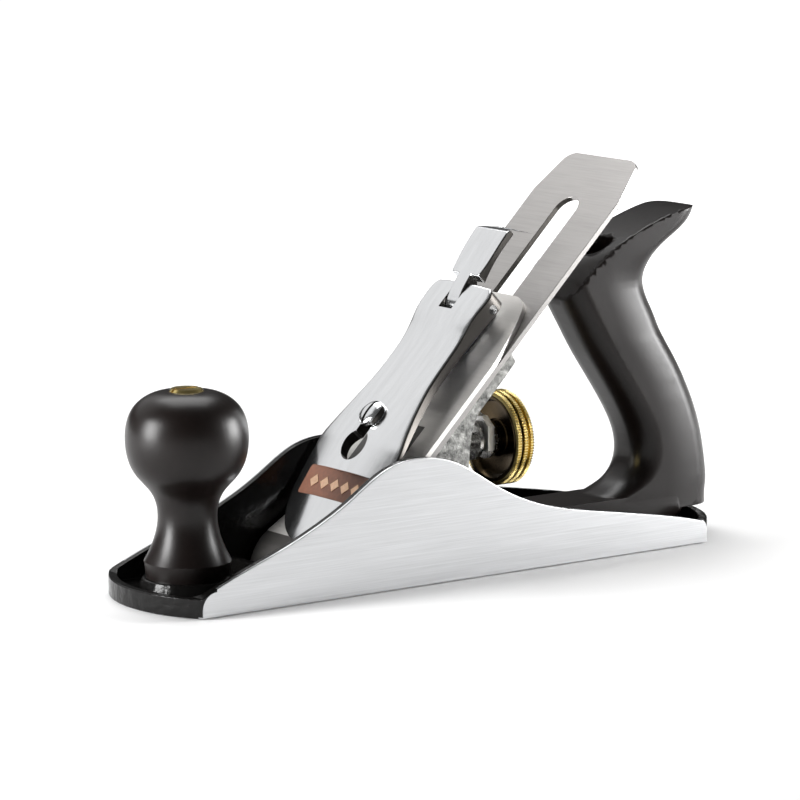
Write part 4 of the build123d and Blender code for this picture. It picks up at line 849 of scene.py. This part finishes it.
def tote(material):
    """Moulded tote, its flat sides rounded away towards the back of the hand."""
    bm = bmesh.new()
    bm.from_mesh(NODES["tote"].data)
    bmesh.ops.remove_doubles(bm, verts=bm.verts, dist=WELD)
    low = [min(v.co[k] for v in bm.verts) for k in range(3)]
    high = [max(v.co[k] for v in bm.verts) for k in range(3)]
    step = CROWN_STEP * MM
    for k in (0, 2):
        normal = Vector((1, 0, 0)) if k == 0 else Vector((0, 0, 1))
        for cut in range(1, int((high[k] - low[k]) / step)):
            bmesh.ops.bisect_plane(
                bm,
                geom=bm.verts[:] + bm.edges[:] + bm.faces[:],
                dist=0.02 * MM,
                plane_co=normal * (low[k] + cut * step),
                plane_no=normal,
            )
    rows = int((high[2] - low[2]) / step) + 1
    back = [low[0]] * (rows + 1)
    for vertex in bm.verts:
        row = int((vertex.co.z - low[2]) / step + 0.5)
        back[row] = max(back[row], vertex.co.x)
    for vertex in bm.verts:
        at = (vertex.co.z - low[2]) / step
        row = min(int(at), rows - 1)
        edge = back[row] + (back[row + 1] - back[row]) * (at - row)
        near = max(0.0, 1 - (edge - vertex.co.x) / (CROWN_REACH * MM))
        below_horn = (CROWN_TOP * MM - vertex.co.z) / (CROWN_FADE * MM)
        below_horn = min(1.0, max(0.0, below_horn))
        vertex.co.y *= 1 - CROWN_FALL * near**2 * below_horn**2 * (3 - 2 * below_horn)
    mesh = bpy.data.meshes.new("tote_crowned")
    bm.to_mesh(mesh)
    bm.free()
    mesh.shade_smooth()
    mesh.set_sharp_from_angle(angle=radians(60))
    return mesh_piece("tote_moulded", mesh, material, "plane_body", "handle_plastic", "tote")


SCREW_END = -8.9
SCREW_RADIUS = 3.1
HEAD_OFF = 13.8  # the head's underside and its crown, off the bed
HEAD_TOP = 17.0
SCREW_SLOT = 1.3
SLOT_FLOOR = 15.4


def lever_screw(material):
    """The lever cap's screw, its slotted head domed and polished."""
    shank = [(SCREW_END, 0.05), (SCREW_END, SCREW_RADIUS), (HEAD_OFF, SCREW_RADIUS)]
    rim = [(HEAD_OFF, 5.1), (14.0, 5.4), (14.8, 5.4), (15.5, 5.25)]
    dome = [(16.1, 4.7), (16.55, 3.7), (16.85, 2.3), (HEAD_TOP, 0.9), (HEAD_TOP, 0.05)]
    loop = [(along * MM, radius * MM) for along, radius in shank + rim + dome]
    turned = lathe(loop, 72, on_bed(SCREW_UP, 0), OFF_BED)

    def along_slot(up, across, off):
        return on_bed(up, off, across)

    slot = prism(box_outline(SCREW_UP, 0, 14, SCREW_SLOT), SLOT_FLOOR, 18, along_slot)
    mesh = carved(turned, [slot])
    mesh.shade_smooth()
    mesh.set_sharp_from_angle(angle=radians(40))
    stands_for = "lever_cap_screw"
    return mesh_piece("cap_screw_domed", mesh, material, "frog_unit", "screw_chrome", stands_for)


# ---------------------------------------------------------------- floor, light, camera
FLOOR_REACH = 6.0
FLOOR_DROP = 0.0004  # the floor lies this far under the sole


def floor(material):
    """Plain floor under the plane."""
    mesh = bpy.data.meshes.new("studio_floor")
    signs = [(-1, -1), (1, -1), (1, 1), (-1, 1)]
    corners = [(a * FLOOR_REACH, b * FLOOR_REACH, 0) for a, b in signs]
    mesh.from_pydata(corners, [], [(0, 1, 2, 3)])
    mesh.materials.append(material)
    plane = bpy.data.objects.new("studio_floor", mesh)
    bpy.context.scene.collection.objects.link(plane)
    plane.location.z = -FLOOR_DROP


CARD_AZIMUTH = 36
CARD_NEAR = 0.26
CARD_FAR = 0.85


def flag():
    """Black card on the floor that is seen only where the polished pieces reflect it."""
    mesh = bpy.data.meshes.new("flag")
    near = [(-0.3, CARD_NEAR, 0), (0.3, CARD_NEAR, 0)]
    far = [(0.4, CARD_FAR, 0), (-0.4, CARD_FAR, 0)]
    mesh.from_pydata(near + far, [], [(0, 1, 2, 3)])
    material = bpy.data.materials.new("flag_black")
    material.use_nodes = True
    shader = material.node_tree.nodes["Principled BSDF"]
    shader.inputs["Base Color"].default_value = grey(0.002)
    mesh.materials.append(material)
    card = bpy.data.objects.new("flag", mesh)
    bpy.context.scene.collection.objects.link(card)
    card.location = (0.05, 0, 0.001)
    card.rotation_euler = (0, 0, radians(180 + CARD_AZIMUTH))
    card.visible_camera = False
    card.visible_shadow = False
    card.visible_diffuse = False


def placed(obj, azimuth, elevation, distance, target):
    """Puts an object round the target and points it there, azimuth 0 looking along +Y."""
    a, e = radians(azimuth), radians(elevation)
    back = Vector((sin(a) * cos(e), -cos(a) * cos(e), sin(e)))
    obj.location = Vector(target) + back * distance
    obj.rotation_euler = (-back).to_track_quat("-Z", "Y").to_euler()
    bpy.context.scene.collection.objects.link(obj)


def softbox(name, azimuth, elevation, distance, wide, high, brightness):
    """Large soft light of so many metres, as bright as its brightness times white."""
    light = bpy.data.lights.new(name, "AREA")
    light.shape = "RECTANGLE"
    light.size = wide
    light.size_y = high
    light.energy = pi * wide * high * brightness
    placed(bpy.data.objects.new(name, light), azimuth, elevation, distance, (0, 0, 0.05))


AROUND = 0.06  # brightness of the room for the pieces, and of the sweep for the camera
SWEEP = 1.05


def studio_light():
    """Soft light all round a white sweep, with four large softboxes."""
    world = bpy.data.worlds.new("studio")
    bpy.context.scene.world = world
    world.use_nodes = True
    tree = world.node_tree
    tree.nodes.clear()
    seen = add_node(tree, "ShaderNodeLightPath", out=0)
    white = {"Color": grey(1.0)}
    around = add_node(tree, "ShaderNodeBackground", None, {**white, "Strength": AROUND})
    sweep = add_node(tree, "ShaderNodeBackground", None, {**white, "Strength": SWEEP})
    mix = add_node(tree, "ShaderNodeMixShader", None, {0: seen, 1: around, 2: sweep})
    output = tree.nodes.new("ShaderNodeOutputWorld")
    tree.links.new(mix.socket, output.inputs[0])
    softbox("left_softbox", -104, 13, 0.95, 0.36, 0.46, 27.0)
    softbox("right_softbox", 63, 9, 1.0, 0.46, 0.50, 24.0)
    softbox("top_softbox", 155, 62, 1.2, 0.8, 0.8, 4.6)
    softbox("back_softbox", -168, 37, 1.3, 1.3, 0.9, 0.74)


CAMERA_AZIMUTH = -36.14
CAMERA_ELEVATION = 9.69
CAMERA_DISTANCE = 1.5895
CAMERA_TARGET = (-0.00765, 0.0, 0.06244)
CAMERA_LENS = 196.08


def camera():
    """The camera, at the picture's viewing angle."""
    lens = bpy.data.cameras.new("camera")
    lens.lens = CAMERA_LENS
    lens.sensor_width = 36.0
    lens.clip_start = 0.05
    lens.clip_end = 30.0
    seat = bpy.data.objects.new("camera", lens)
    placed(seat, CAMERA_AZIMUTH, CAMERA_ELEVATION, CAMERA_DISTANCE, CAMERA_TARGET)
    bpy.context.scene.camera = seat


# ---------------------------------------------------------------- making
def paint(nodes, material):
    """Gives CAD pieces a material."""
    for node in nodes:
        for slot in NODES[node].material_slots:
            slot.material = material


camera()
studio_light()
floor(floor_finish())
flag()

casting = casting_finish()
handle = handle_finish()
blade = iron_finish()
hump = cap_iron_finish()
chrome = chrome_finish()
nickel = plated_finish()
pressed = yoke_finish()
spring = spring_finish()
brass = brass_finish()
frog_skin = frog_finish()
copper = panel_finish()

softened("body_casting_fettled", "body_casting", casting, "plane_body", "casting", 0.35 * MM)
tote(handle)
lever_cap(chrome)
lever_screw(chrome)
softened("cam_plated", "cam", chrome, "cam_lever", "chrome", 0.4 * MM)
softened("iron_ground", "iron", blade, "cutter", "iron_steel", 0.12 * MM)
depth_wheel(brass)

paint(["knob"], handle)
paint(["knob_nut", "tote_nut"], brass)
paint(["frog"], frog_skin)
paint(["cap_iron"], hump)
paint(["cap_panel"], copper)
paint(["cap_spring"], spring)
paint(["yoke", "lateral_lever", "frog_clip"], pressed)
painted = {
    "knob", "knob_nut", "tote_nut", "frog", "cap_iron", "cap_panel", "cap_spring", "yoke",
    "lateral_lever", "frog_clip",
}
paint([node for node in NODES if node not in painted and not NODES[node].hide_render], nickel)

bpy.context.scene.view_settings.view_transform = "Standard"
